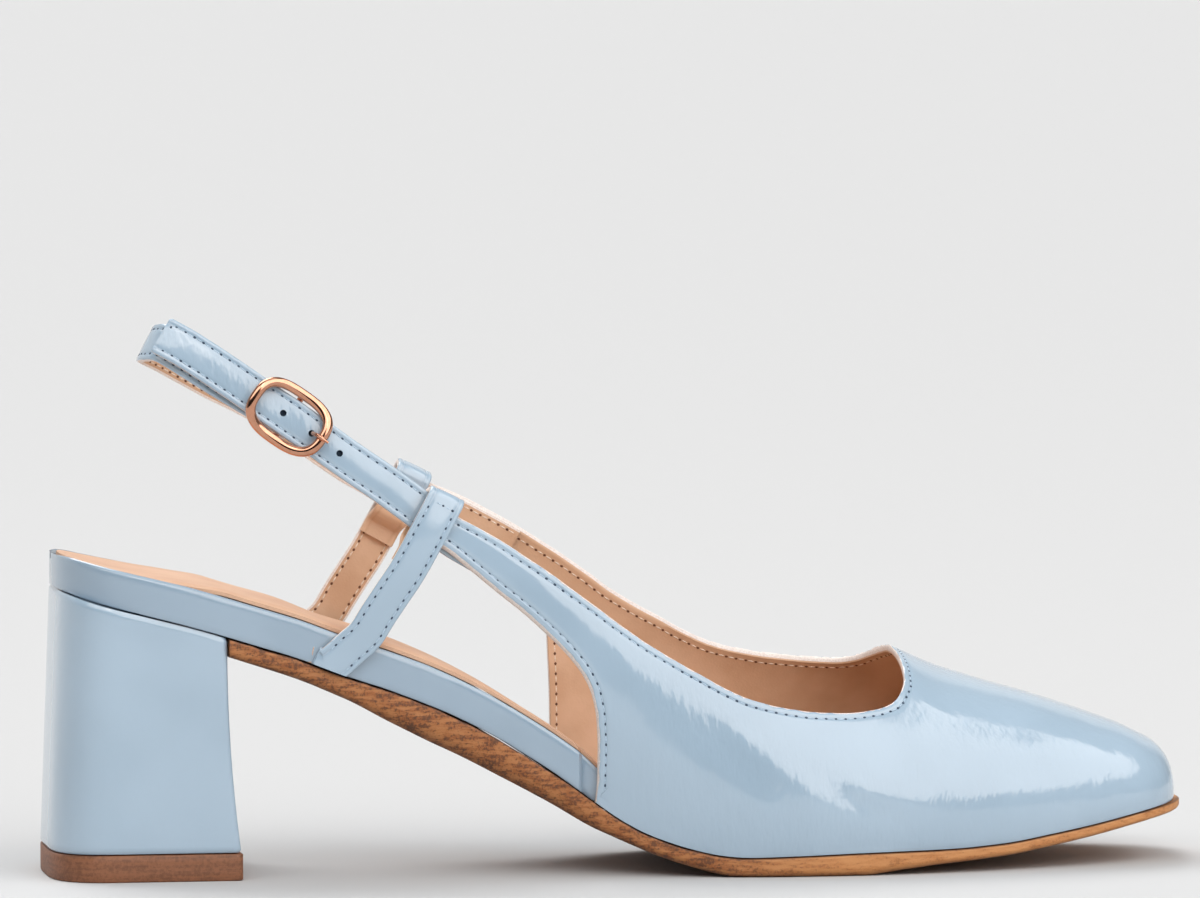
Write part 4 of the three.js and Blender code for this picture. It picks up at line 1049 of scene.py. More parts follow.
@dataclass(frozen=True)
class SoleLeather:
    """Sole leather: stained tan edge with dark specks, rougher and darker in the waist."""

    name: str = "sole_leather"
    colour: Colour = paint(180, 116, 64)
    light: Colour = paint(196, 136, 82)
    waist: Colour = paint(146, 84, 40)
    dark: Colour = paint(80, 50, 30)

    def build(self) -> Material:
        """Make the material.

        Returns:
            The finish.
        """
        bench = Bench(bpy.data.materials.new(self.name))
        fibre = bench.cloud(600, 4.0, 0.65, (0.3, 1.0, 1.6))
        specks = bench.cloud(1700, 3.0, 0.7)
        waist = 1 - bench.axis("X").step(0.115, 0.15)
        base = bench.mix(fibre.step(0.35, 0.7), self.light, self.colour)
        base = bench.mix(waist * (0.55 + 0.45 * fibre.step(0.4, 0.6)), base, self.waist)
        worn = (specks * 0.6 + fibre * 0.5 + waist * 0.05).step(0.575, 0.7) * (0.35 + 0.45 * waist)
        # Dark specks, plus the painted shade under the upper and at the edge's foot.
        base = bench.mix((worn + bench.tone()).least(1.0), base, self.dark)
        normal = bench.relief(fibre * 0.6 + specks * 0.6, 0.12)
        return bench.finish(base, 0.42 + 0.3 * fibre, normal)


@dataclass(frozen=True)
class Rubber:
    """Brown rubber of the top lift, finely speckled."""

    name: str = "rubber_brown"
    colour: Colour = paint(137, 87, 57)
    dark: Colour = paint(112, 70, 46)

    def build(self) -> Material:
        """Make the material.

        Returns:
            The finish.
        """
        bench = Bench(bpy.data.materials.new(self.name))
        specks = bench.cloud(1500, 3.0, 0.7)
        scrapes = bench.cloud(500, 3.0, 0.6, (0.2, 0.2, 2.5))
        base = bench.mix((specks * 0.6 + scrapes * 0.5).step(0.45, 0.68), self.colour, self.dark)
        return bench.finish(base, 0.5 + 0.2 * specks, bench.relief(specks * 0.5 + scrapes * 0.6, 0.06))


@dataclass(frozen=True)
class RoseGold:
    """Polished rose gold plating."""

    name: str = "rose_gold"
    colour: Colour = paint(210, 154, 126)

    def build(self) -> Material:
        """Make the material.

        Returns:
            The finish.
        """
        bench = Bench(bpy.data.materials.new(self.name))
        rub = bench.cloud(900, 3.0, 0.6)
        base = bench.mix(rub.step(0.4, 0.75), self.colour, paint(198, 142, 114))
        return bench.finish(base, 0.06 + 0.06 * rub, bench.relief(rub, 0.004), Metallic=1.0)


@dataclass(frozen=True)
class Plain:
    """A thread, a pale folded edge carrying a painted highlight, or the painted shade inside a needle hole.
    """

    name: str
    colour: Colour
    dark: Colour
    roughness: float = 0.6
    scale: float = 2500

    def build(self) -> Material:
        """Make the material.

        Returns:
            The finish.
        """
        bench = Bench(bpy.data.materials.new(self.name))
        twist = bench.cloud(self.scale, 2.0)
        base = bench.mix(twist.step(0.35, 0.7), self.colour, self.dark)
        return bench.finish(base, self.roughness + 0.1 * twist, bench.relief(twist, 0.03))


def made(finish: type, *settings: Union[str, Colour, float]) -> Material:
    """A field that holds a finish, built from its settings when the shoe's finishes are made."""
    return field(default_factory=lambda: finish(*settings).build())


@dataclass
class Finishes:
    """All the shoe's finishes, made once."""

    patent: Material = made(Patent)
    # A darker copy of the patent for the band: painted shade for its downward-facing surface.
    band: Material = made(Patent, "patent_band", paint(145, 165, 182), paint(120, 141, 160),
                          paint(150, 170, 187))
    lining: Material = made(Lining)
    sock: Material = made(Lining, "sock_tan", paint(212, 172, 142), paint(200, 156, 126))
    sole: Material = made(SoleLeather)
    rubber: Material = made(Rubber)
    metal: Material = made(RoseGold)
    # Pale raw edge of the fold, made lighter still as a painted highlight along the rounded fold.
    edge: Material = made(Plain, "folded_edge", paint(230, 219, 212), paint(214, 200, 192))
    thread: Material = made(Plain, "thread_blue", paint(178, 198, 214), paint(150, 172, 192))
    # Dark needle-hole finish: painted shade inside the holes.
    pit: Material = made(Plain, "needle_hole", paint(62, 78, 96), paint(46, 60, 78), 0.8)
    cream: Material = made(Plain, "thread_cream", paint(232, 214, 196), paint(206, 186, 166))
    # Dark brown needle-hole finish on the lining: painted shade inside the holes.
    umber: Material = made(Plain, "needle_hole_lining", paint(112, 72, 50), paint(84, 52, 36), 0.8)

    @property
    def folded(self) -> list[Material]:
        """Face, folded edge and lining, in the order of the layers."""
        return [self.patent, self.edge, self.lining]


# Bottom of the shoe


def stations(start: float, end: float, step: float, inset: float, arcs: int = 14,
             extra: Sequence[float] = ()) -> list[float]:
    """Stations along the shoe, closer together where the outline rounds off.

    Args:
        start: First station.
        end: Last station.
        step: Distance between stations on the straight.
        inset: How far inside the outline the toe's end lies.
        arcs: Stations round each end.
        extra: Stations that are needed as well.

    Returns:
        The stations in order.
    """
    found = list(extra)
    reach = 0.985
    bends = [sin(i / arcs * reach * pi / 2) for i in range(1, arcs + 1)]
    if start < LAST.seat_start:
        found += [LAST.seat_start - (LAST.seat_start - start) * bend for bend in bends]
    low, high = max(start, LAST.seat_start), min(end, LAST.toe_start)
    count = round((high - low) / step)
    found += [low + (high - low) * i / count for i in range(count + 1)]
    if end > LAST.toe_start:
        found += [LAST.toe_start + (LAST.toe_round - inset) * bend for bend in bends]
    return sorted(found)


def arc(centre: Span, radius: float, start: float, end: float, steps: int) -> list[Span]:
    """Points on an arc.

    Args:
        centre: Its centre.
        radius: Its radius.
        start: Angle of the first point, in degrees.
        end: Angle of the last point.
        steps: How many spans.

    Returns:
        The points.
    """
    angles = [radians(start + (end - start) * i / steps) for i in range(steps + 1)]
    return [(centre[0] + radius * cos(a), centre[1] + radius * sin(a)) for a in angles]


def rings(shell: Shell, rows: Sequence[Sequence[Vector]], layer: Layers = Layer.FACE,
          lift: Optional[Rule] = None, tone: Optional[Rule] = None) -> None:
    """Lay a skin over rings of equally many points.

    Args:
        shell: The piece being made.
        rows: The rings.
        layer: Finish, as in Shell.lay.
        lift: Lift, as in Shell.lay.
        tone: Painted shade, as in Shell.lay.
    """
    count, last = len(rows[0]), len(rows) - 1
    shell.lay(last, count, lambda s, t: rows[round(s * last)][round(t * count) % count], layer, lift, tone)


@dataclass
class Outsole:
    """Leather sole from the heel's breast to the toe."""

    breast: float = 22.2 - 3.4 + 0.3
    thickness: float = 4.3
    upright: float = 3.4
    slant: float = 2.2
    margin: float = 0.5
    toe_margin: float = 1.2
    roughness: float = 0.16

    def ring(self, x: float) -> list[Vector]:
        """The sole's section.

        Args:
            x: Place along the shoe.

        Returns:
            Its points from the outer top edge down and round.
        """
        top = LAST.feather(x) - LAST.clearance
        full = self.thickness * BOTTOM_TABLE.read("sole", LAST.share(x))
        tread = max(0.0, LAST.feather(x) - full)
        thick = top - tread
        left = LAST.edge(x, Side.LATERAL, -self.margin, -self.toe_margin)
        right = LAST.edge(x, Side.MEDIAL, -self.margin, -self.toe_margin)
        slant = min(self.slant, (right - left) / 4)
        upright = thick * min(0.62, self.upright / full)
        soft = min(0.35, (right - left) / 12)

        def half(edge: float, inward: float) -> list[Span]:
            """One edge of the section, from the top down to the tread."""
            low = thick - upright
            side = [(edge + inward * soft, top), (edge + inward * soft * 0.3, top - soft * 0.3)]
            side += [(edge, top - soft - (upright - soft) * k / 5) for k in range(6)]
            bevel = ((0.12, 0.62), (0.35, 0.3), (0.65, 0.1), (1.0, 0.0))
            return side + [(edge + inward * slant * reach, tread + low * rise) for reach, rise in bevel]

        floor = [(left + slant + (right - left - 2 * slant) * k / 8, tread) for k in range(1, 8)]
        cap = [(right - soft - (right - left - 2 * soft) * k / 6, top) for k in range(1, 6)]
        outline = [*half(left, 1.0), *floor, *half(right, -1.0)[::-1], *cap]
        return [Vector((x, y, z)) for y, z in outline]

    def build(self, finishes: Finishes) -> Piece:
        """Make the sole.

        Args:
            finishes: The shoe's finishes.

        Returns:
            The piece.
        """
        shell = Shell("leather_sole")
        places = stations(self.breast, LAST.tip + self.toe_margin, 1.6, -self.toe_margin)
        rows = [self.ring(x) for x in places]
        count = len(rows[0])
        edge_points, tread_points = 12, 7
        around = edge_points + tread_points

        def rough(s: float, t: float) -> float:
            """Ragged surface of the cut edge, strongest in the waist, and none on the tread."""
            k = round(t * count) % count
            if edge_points - 1 <= k <= around:
                return 0.0
            point = rows[round(s * (len(rows) - 1))][k]
            waist = 1 - ease(point.x, 95, 150)
            grain = noise.noise(point * 0.55) + 0.6 * noise.noise(point * 1.7)
            return self.roughness * grain * (0.15 + waist)

        def shade(s: float, t: float) -> float:
            """Painted shade: a dark line under the upper and along the bevel at the edge's foot."""
            k = round(t * count) % count
            from_side = min(k, around + edge_points - 1 - k)
            return {0: 0.8, 1: 0.35, 9: 0.25, 10: 0.45, 11: 0.3}.get(from_side, 0.0)

        rings(shell, rows, Layer.FACE, rough, shade)
        shell.weld()
        shell.emboss()
        return shell.settle([finishes.sole], ["outsole"], 50)


@dataclass
class Footbed:
    """Insole board wrapped in patent at its edge, and the tan sock on it with its heel pad."""

    height: float = 8.3
    lip: float = 1.2
    round: float = 0.9
    sock: float = 1.2
    pad: float = 0.8
    least_sunk: float = 0.1

    def inset(self, x: float) -> float:
        """How far the board lies inside the outline."""
        return (LAST.wall + LAST.clearance) * BOARD_TABLE.read("inside", LAST.share(x))

    def top(self, x: float) -> float:
        """Height of the board's edge."""
        return LAST.feather(x) + self.height * BOARD_TABLE.read("height", LAST.share(x))

    def floor(self, x: float) -> float:
        """Height that the sock lies on."""
        return self.top(x) - max(self.least_sunk, self.sock * BOARD_TABLE.read("sunk", LAST.share(x)))

    def ring(self, x: float) -> list[Vector]:
        """The board's section.

        Args:
            x: Place along the shoe.

        Returns:
            Its points round.
        """
        top, bottom, floor = self.top(x), LAST.feather(x), self.floor(x)
        left = LAST.edge(x, Side.LATERAL, self.inset(x))
        right = LAST.edge(x, Side.MEDIAL, self.inset(x))
        soft = min(self.round, (right - left) / 8)
        lip = max(soft, min(self.lip, (right - left) / 6))
        height = top - bottom - soft

        def half(edge: float, inward: float) -> list[Span]:
            """One edge from the middle of the bottom up and over the lip."""
            low = min(0.5, soft)
            side = [(edge + inward * low, bottom), (edge + inward * low * 0.25, bottom + low * 0.25)]
            side += [(edge, bottom + low + (height - low) * k / 6) for k in range(7)]
            side += [(edge + inward * (soft - soft * cos(a)), top - soft + soft * sin(a))
                     for a in (0.4, 0.8, 1.2, pi / 2)]
            side += [(edge + inward * lip, top), (edge + inward * lip, floor)]
            return side

        left_half, right_half = half(left, 1.0), half(right, -1.0)
        return [Vector((x, y, z)) for y, z in [*left_half, *right_half[::-1]]]

    def sock_ring(self, x: float) -> list[Vector]:
        """The sock's section.

        Args:
            x: Place along the shoe.

        Returns:
            Its points round.
        """
        inset = self.lip + LAST.clearance
        bottom = self.floor(x) + LAST.clearance
        left = LAST.edge(x, Side.LATERAL, self.inset(x) + inset)
        right = LAST.edge(x, Side.MEDIAL, self.inset(x) + inset)
        dome = self.pad * PAD_TABLE.read("rise", LAST.share(x))
        rows = 28
        ring = [Vector((x, left, bottom)), Vector((x, right, bottom))]
        soft = min(0.4, (right - left) / 8)
        for i in range(rows + 1):
            across = i / rows
            bump = dome * max(0.0, sin(across * pi)) ** 0.7
            drop = soft * (1 - ease(min(across, 1 - across) * (right - left), 0.0, 0.8))
            ring.append(Vector((x, right + (left - right) * across, bottom + self.sock + bump - drop)))
        return ring

    def build(self, finishes: Finishes) -> list[Piece]:
        """Make the board and the sock.

        Args:
            finishes: The shoe's finishes.

        Returns:
            Both pieces.
        """
        step_in = [LAST.at(0.4502), LAST.at(0.4542)]
        inside = LAST.wall + LAST.clearance
        board = Shell("band_patent")
        places = stations(-LAST.heel_back, LAST.tip - inside, 1.8, inside, 18, step_in)
        rows = [self.ring(x) for x in places]

        def wavy(s: float, t: float) -> float:
            """Slight waves in the wrapped band."""
            point = rows[round(s * (len(rows) - 1))][round(t * len(rows[0])) % len(rows[0])]
            return 0.12 * noise.noise(point * 0.09) + 0.04 * noise.noise(point * 0.3)

        rings(board, rows, Layer.FACE, wavy)
        board.weld()
        board.emboss()
        band = board.settle([finishes.band], ["footbed"], 45)
        inset = self.lip + LAST.clearance
        far = inside + inset
        shell = Shell("sock_tan")
        places = stations(inset - LAST.heel_back, LAST.tip - far, 1.8, far, 18, step_in)
        rings(shell, [self.sock_ring(x) for x in places], Layer.FACE)
        shell.weld()
        return [band, shell.settle([finishes.sock], ["sock_lining"], 45)]


@dataclass
class Heel:
    """Block heel covered in patent, on its brown top lift."""

    front: float = 22.2
    breast_rake: float = 3.4
    back: float = 17.7
    back_rake: float = 2.2
    tip_width: float = 46.0
    seat_width: float = 49.6
    round: float = 13.0
    lift_height: float = 5.7
    corner: float = 1.2

    def ring(self, front: float, back: float, width: float, height: Callable[[float], float]) -> list[Vector]:
        """Outline at one level.

        Args:
            front: Place of the breast.
            back: Distance of the back behind the origin.
            width: Width there.
            height: Rule for the height at x.

        Returns:
            A closed ring.
        """
        half, corner, start = width / 2, self.corner, self.round - back
        row = [(front, half * k / 5) for k in range(5)]
        row += [(front - corner + x, half - corner + y) for x, y in arc((0, 0), corner, 0, 90, 5)]
        row += [(start + (front - corner - start) * k / 6, half) for k in range(5, 0, -1)]
        steps = 30
        for i in range(steps + 1):
            angle = i / steps * pi / 2
            row.append((start - self.round * sin(angle) ** 0.8, half * max(0.0, cos(angle)) ** 0.55))
        other = [(x, -y) for x, y in row[-2:0:-1]]
        return [Vector((x, y, height(x))) for x, y in [*row, *other]]

    def build(self, finishes: Finishes) -> list[Piece]:
        """Make the heel and its top lift.

        Args:
            finishes: The shoe's finishes.

        Returns:
            Both pieces.
        """
        base = self.lift_height + LAST.clearance
        rows = []
        middle = [0.06 + 0.88 * k / 22 for k in range(23)]
        levels = [0.0, 0.004, 0.012, 0.03, *middle, 0.97, 0.985, 0.995, 1.0]
        for level in levels:
            flare = (1 - level) ** 2
            pinch = 0.35 * (1 - ease(level, 0.0, 0.012)) + 0.3 * ease(level, 0.985, 1.0)
            front = self.front - self.breast_rake * (1 - flare * (1 - base / LAST.seat_rise)) - pinch
            back = self.back - self.back_rake * level - pinch
            width = self.tip_width + (self.seat_width - self.tip_width) * level - 2 * pinch

            def height(x: float, level: float = level) -> float:
                """Height of this level at x."""
                return base + (LAST.feather(x) - LAST.clearance - base) * level

            rows.append(self.ring(front, back, width, height))
        shell = Shell("heel_patent")
        rings(shell, rows)
        shell.weld()
        block = shell.settle([finishes.patent], ["heel"], 50)
        tip = Shell("top_lift_rubber")
        top = self.lift_height
        edge = 0.15
        sides = [(0.4, 0.0), (2.2, 0.0), (4.0, 0.0)]
        levels = [(0.0, 0.4), (0.12, 0.12), *sides, (top - edge, 0.0), (top, edge)]
        rows = [self.ring(self.front - inset, self.back - inset, self.tip_width - 2 * inset, lambda _, z=z: z)
                for z, inset in levels]
        rings(tip, rows)
        tip.weld()
        return [block, tip.settle([finishes.rubber], ["top_lift"], 50)]


# Upper


@dataclass
class SeamPath:
    """A line on a surface for a row of stitches."""

    points: list[Vector]
    outs: list[Vector]

    def spread(self, pitch: float, spare: float = 0.5) -> list[tuple[Vector, Vector, Vector]]:
        """Even places along the line.

        Args:
            pitch: Distance between places, made to fit.
            spare: Length left free at both ends.

        Returns:
            Point, direction and outward direction of each.
        """
        runs = [0.0]
        for a, b in zip(self.points, self.points[1:]):
            runs.append(runs[-1] + (b - a).length)
        free = runs[-1] - spare - spare
        if free < pitch:
            return []
        count = max(1, round(free / pitch))
        found = []
        k = 0
        for i in range(count):
            run = spare + free * (i + 0.5) / count
            while k < len(runs) - 2 and run > runs[k + 1]:
                k += 1
            t = (run - runs[k]) / max(1e-6, runs[k + 1] - runs[k])
            way = (self.points[k + 1] - self.points[k]).normalized()
            out = self.outs[k].lerp(self.outs[k + 1], t).normalized()
            found.append((self.points[k].lerp(self.points[k + 1], t), way, out))
        return found


@dataclass(frozen=True)
class Crease:
    """A soft trough or ridge of the skin, seen from the side, in shares of the length and the instep rise."""

    start: Span
    end: Span
    width: float
    height: float

    def rise(self, point: Vector) -> float:
        """How far it raises a point of the skin, in millimetres.

        Args:
            point: The point.

        Returns:
            The rise, less than nothing in a trough.
        """
        ends = []
        # wall: Finish inside the holes, a dark colour painted as their shade.
        for along, share in (self.start, self.end):
            x = LAST.at(along)
            ends.append(Vector((x, LAST.feather(x) + LAST.instep_rise * share)))
        way = ends[1] - ends[0]
        flat = Vector((point.x, point.z)) - ends[0]
        t = min(1.0, max(0.0, flat.dot(way) / way.length_squared))
        away = (flat - way * t).length / self.width
        depth = self.height * max(0.0, 1 - away * away) ** 2
        return depth * sin(pi * (0.08 + 0.84 * t)) ** 0.5


CREASES = {
    Side.LATERAL: (
        Crease((0.552, 0.66), (0.612, 0.36), 5.0, -0.2), Crease((0.585, 0.62), (0.642, 0.34), 4.0, 0.12),
        Crease((0.642, 0.52), (0.69, 0.24), 4.5, -0.16), Crease((0.672, 0.32), (0.72, 0.18), 3.6, -0.2),
        Crease((0.7, 0.5), (0.735, 0.3), 4.0, 0.1), Crease((0.742, 0.76), (0.8, 0.36), 5.0, -0.12),
        Crease((0.79, 0.8), (0.835, 0.5), 5.0, 0.05), Crease((0.89, 0.38), (0.925, 0.12), 4.0, -0.14),
        Crease((0.462, 0.86), (0.497, 0.5), 4.5, -0.12), Crease((0.4, 1.2), (0.44, 1.0), 4.0, -0.1),
    ),
    Side.MEDIAL: (
        Crease((0.56, 0.7), (0.61, 0.4), 5.0, -0.18), Crease((0.64, 0.6), (0.69, 0.3), 4.5, -0.16),
        Crease((0.7, 0.66), (0.745, 0.36), 4.0, 0.12), Crease((0.75, 0.74), (0.805, 0.34), 5.0, -0.16),
        Crease((0.47, 0.9), (0.5, 0.5), 4.5, -0.12),
    ),
}


@dataclass
class Upper:
    """Vamp and both quarters: one folded and lined shell, open at throat and cut-outs."""

    steps: int = 6
    seam: float = 1.35
    groove: float = 0.13
    middle_rows: int = 30
    lining_rows: int = 20
    seams: dict[str, SeamPath] = field(default_factory=dict)

    def rib(self, index: float, side: int) -> Ends:
        """Ends of a rib.

        Args:
            index: Which rib, between ribs too.
            side: Which side.

        Returns:
            Lower x, upper x, lower turn and upper turn.
        """
        low_along, low = RIB_TABLE.read("low_along", index), RIB_TABLE.read("low", index)
        top_along, top = RIB_TABLE.read("top_along", index), RIB_TABLE.read("top", index)
        lift = RIB_TABLE.read("lift", index) if side == Side.MEDIAL else 0.0
        back = RIB_TABLE.read("back", index) if side == Side.MEDIAL else 0.0
        low_x, top_x = LAST.at(low_along - back), LAST.at(top_along)
        low_turn = LAST.turn_at(low_x, LAST.instep_rise * (low + min(lift, low / 2)))
        top_turn = 1.0 if index >= THROAT_RIB else LAST.turn_at(top_x, LAST.instep_rise * (top + lift))
        return low_x, top_x, low_turn, top_turn

    def point(self, ends: Ends, side: int, t: float, inset: float) -> Vector:
        """A point of a rib.

        Args:
            ends: The rib's ends.
            side: Which side.
            t: Share of the way up.
            inset: Depth under the surface.

        Returns:
            The point.
        """
        low_x, top_x, low, top = ends
        x = low_x + (top_x - low_x) * t
        if x > LAST.toe_start:
            x = LAST.toe_start + (x - LAST.toe_start) * (LAST.toe_round - inset) / LAST.toe_round
        return LAST.section(x, side, low + (top - low) * t, inset)

    def edge_shares(self, index: int, side: int, distances: Sequence[float], upper: bool) -> list[float]:
        """Shares of a rib at distances from one of the upper's edges, square to that edge.

        Args:
            index: Which step of the ribs.
            side: Which side.
            distances: Distances from the edge.
            upper: Whether it is the topline or the lower edge.

        Returns:
            The shares.
        """
        end, inner = (1.0, 0.96) if upper else (0.0, 0.04)
        last = (len(RIB_ROWS) - 1) * self.steps
        here = self.rib(index / self.steps, side)
        a = self.point(self.rib(max(0, index - 1) / self.steps, side), side, end, 0)
        b = self.point(self.rib(min(last, index + 1) / self.steps, side), side, end, 0)
        edge, into = self.point(here, side, end, 0), self.point(here, side, inner, 0)
        way, along = (into - edge), (b - a)
        if along.length < 1e-6 or way.length < 1e-6:
            return [end for _ in distances]
        slant = max(0.35, way.normalized().cross(along.normalized()).length)
        rate = way.length / 0.04 * slant
        sign = -1.0 if upper else 1.0
        return [end + sign * min(0.3, d / rate) for d in distances]

    def rows(self, index: int, side: int) -> list[float]:
        """Shares of the way up at which the outer face has its rows.

        Args:
            index: Which step of the ribs.
            side: Which side.

        Returns:
            The shares, closer together at the seams.
        """
        near = [0.0, 0.25, 0.6, *(self.seam + 0.2 * k for k in range(-2, 3)), 2.4]
        low = self.edge_shares(index, side, near, False)
        high = self.edge_shares(index, side, near, True)[::-1]
        span = high[0] - low[-1]
        middle = [low[-1] + span * k / self.middle_rows for k in range(1, self.middle_rows)]
        return [*low, *middle, *high]

    def build(self, finishes: Finishes) -> Piece:
        """Make the upper.

        Args:
            finishes: The shoe's finishes.

        Returns:
            The piece.
        """
        shell = Shell("upper_patent")
        last = (len(RIB_ROWS) - 1) * self.steps
        for side in Side:
            ribs = [self.rib(i / self.steps, side) for i in range(last + 1)]
            rows = [self.rows(i, side) for i in range(last + 1)]
            self.outer(shell, side, ribs, rows, last)
            count = self.lining_rows
            inner = [[self.point(rib, side, j / count, LAST.wall) for j in range(count + 1)] for rib in ribs]
            shell.lay(last, count, lambda s, t, inner=inner: inner[round(s * last)][round(t * count)],
                      Layer.LINING)
            self.rims(shell, side, ribs, last)
            self.trace(side, ribs, last)
        shell.weld(fill=False)
        shell.emboss()
        return shell.settle(finishes.folded, ["upper"], 50)

    def outer(self, shell: Shell, side: Side, ribs: list, rows: list, last: int) -> None:
        """Lay the outer face.

        Args:
            shell: The piece being made.
            side: Which side.
            ribs: Ends of the ribs.
            rows: Shares of the rows on each rib.
            last: Number of the last rib.
        """
        count = len(rows[0]) - 1
        throat, cutout = THROAT_RIB * self.steps, CUTOUT_RIB * self.steps

        def place(s: float, t: float) -> Vector:
            """Point of the outer face."""
            i = round(s * last)
            return self.point(ribs[i], side, rows[i][round(t * count)], 0)

        def seam(s: float, t: float) -> float:
            """How deep in a stitched groove, 0 to 1, which also gives the groove its painted shade."""
            i, j = round(s * last), round(t * count)
            top_fade = 1 - ease(i, throat - 4, throat + 1)
            low_fade = 1 - ease(i, cutout - 1, cutout + 2)
            depth = {4: 0.5, 5: 1.0, 6: 0.5}
            return max(depth.get(j, 0.0) * low_fade, depth.get(count - j, 0.0) * top_fade)

        def lift(s: float, t: float) -> float:
            """Groove, rounding of the fold and soft waves of the skin."""
            i, j = round(s * last), round(t * count)
            point = place(s, t)
            ridge = ease(abs(1 - t) * 40, 0, 4) if i >= throat else 1.0
            wave = 0.22 * noise.noise(point * 0.045 + Vector((3.1, 0, 0))) + 0.07 * noise.noise(point * 0.13)
            foot = ease(t * 40, 0, 3)
            wave = wave * 0.6 + sum(crease.rise(point) for crease in CREASES[side])
            edge = -0.25 if (j == 0 and i < cutout) or (j == count and i < throat) else 0.0
            return -self.groove * seam(s, t) + wave * ridge * foot + edge

        shell.lay(last, count, place, Layer.FACE, lift, seam)

    def rims(self, shell: Shell, side: Side, ribs: list, last: int) -> None:
        """Lay the folded edges between outer face and lining.

        Args:
            shell: The piece being made.
            side: Which side.
            ribs: Ends of the ribs.
            last: Number of the last rib.
        """
        throat = THROAT_RIB * self.steps
        steps = 6

        def rim(i: int, end: float, t: float) -> Vector:
            """Point across the fold at a rib's end."""
            outer, inner = self.point(ribs[i], side, end, 0), self.point(ribs[i], side, end, LAST.wall)
            into = self.point(ribs[i], side, 0.97 if end > 0.5 else 0.03, 0)
            beyond = (outer - into).normalized()
            return outer.lerp(inner, t) + beyond * (0.4 * sin(pi * min(1.0, t * 1.02)))

        def finish(_: float, t: float) -> int:
            """A pale raw line over the fold, lightened as a painted highlight, and then the lining."""
            return Layer.EDGE if t < 0.8 else Layer.LINING

        shell.lay(throat, steps, lambda s, t: rim(round(s * throat), 1.0, t), finish)
        cutout = CUTOUT_RIB * self.steps
        shell.lay(last, steps, lambda s, t: rim(round(s * last), 0.0, t) if round(s * last) < cutout else
                  self.point(ribs[round(s * last)], side, 0.0, 0).lerp(
                      self.point(ribs[round(s * last)], side, 0.0, LAST.wall), t), finish)
        first = self.rows(0, side)
        rows = len(first) - 1

        def tab(s: float, t: float) -> Vector:
            """Point on the tab's rear end."""
            share = first[round(s * rows)]
            outer, inner = self.point(ribs[0], side, share, 0), self.point(ribs[0], side, share, LAST.wall)
            return outer.lerp(inner, t)

        shell.lay(rows, steps, tab, finish)

    def trace(self, side: Side, ribs: list, last: int) -> None:
        """Note the lines that the stitches follow.

        Args:
            side: Which side.
            ribs: Ends of the ribs.
            last: Number of the last rib.
        """
        edges = (("topline", True, THROAT_RIB * self.steps), ("cutout", False, CUTOUT_RIB * self.steps))
        for name, upper, end in edges:
            points, outs, inner = [], [], []
            for i in range(3, end + 1):
                share = self.edge_shares(i, side, [self.seam], upper)[0]
                here = self.point(ribs[i], side, share, 0)
                ahead = self.point(ribs[min(last, i + 1)], side, share, 0)
                above = self.point(ribs[i], side, share + 0.02 if not upper else share - 0.02, 0)
                out = (ahead - here).cross(above - here).normalized()
                if out.y * side < 0:
                    out.negate()
                points.append(here - out * self.groove)
                outs.append(out)
                inner.append(self.point(ribs[i], side, share, LAST.wall))
            self.seams[f"{name}_{side.name.lower()}"] = SeamPath(points, outs)
            self.seams[f"{name}_{side.name.lower()}_lining"] = SeamPath(inner, [-out for out in outs])


# Straps, posts and buckle


def tucked(rows: Sequence[Span], side: Side, depth: float) -> list[Knot]:
    """Knots inside a quarter and its loop.

    Args:
        rows: Along and rise of each.
        side: Which side.
        depth: Depth under the quarter's outer face.

    Returns:
        The knots.
    """
    return [Knot(*LAST.spot(LAST.at(along), LAST.strap_rise * rise, side, depth)) for along, rise in rows]


def running(rows: Sequence[Triple], spread: float) -> list[Knot]:
    """Knots of a strap behind its loop, leaning as it does.

    Args:
        rows: Along, rise and share outwards of each.
        spread: Distance between both straps' middles.

    Returns:
        The knots.
    """
    points = []
    for along, rise, out in rows:
        x = LAST.at(along)
        points.append(Vector((x, out * spread / 2, LAST.feather(x) + LAST.strap_rise * rise)))
    knots = []
    for i, point in enumerate(points):
        way = points[min(len(points) - 1, i + 1)] - points[max(0, i - 1)]
        level = Vector((way.y, -way.x, 0)).normalized()
        if level.x * (point.x - LAST.at(0.16)) * 0.5 + level.y * (point.y + spread / 24) < 0:
            level.negate()
        level.z = 0.12 + 0.4 * max(0.0, -level.x)
        knots.append(Knot(point, level.normalized()))
    return knots


def edge_rows(name: str, spots: Sequence[Spot], half: float, skin: float,
              groove: float) -> dict[str, SeamPath]:
    """Lines of stitches along both edges of a strap, on its face and on its lining.

    Args:
        name: What their names start with.
        spots: Places along the strap.
        half: How far the lines lie from its middle.
        skin: Half its thickness.
        groove: How deep the face's lines lie.

    Returns:
        The lines by name.
    """
    lines = {}
    for edge, across in (("top", half), ("foot", -half)):
        face = [spot.off(skin - groove, across) for spot in spots]
        lining = [spot.off(-skin - 0.02, across) for spot in spots]
        lines[f"{name}_{edge}"] = SeamPath(face, [spot.out for spot in spots])
        lines[f"{name}_{edge}_lining"] = SeamPath(lining, [-spot.out for spot in spots])
    return lines


def cross_row(spot: Spot, half: float, level: float) -> SeamPath:
    """Line of stitches across a strap, as far as half from its middle, at a level over it."""
    steps = 6
    points = [spot.off(level, half - half * 2 * k / steps) for k in range(steps + 1)]
    return SeamPath(points, [spot.out] * len(points))


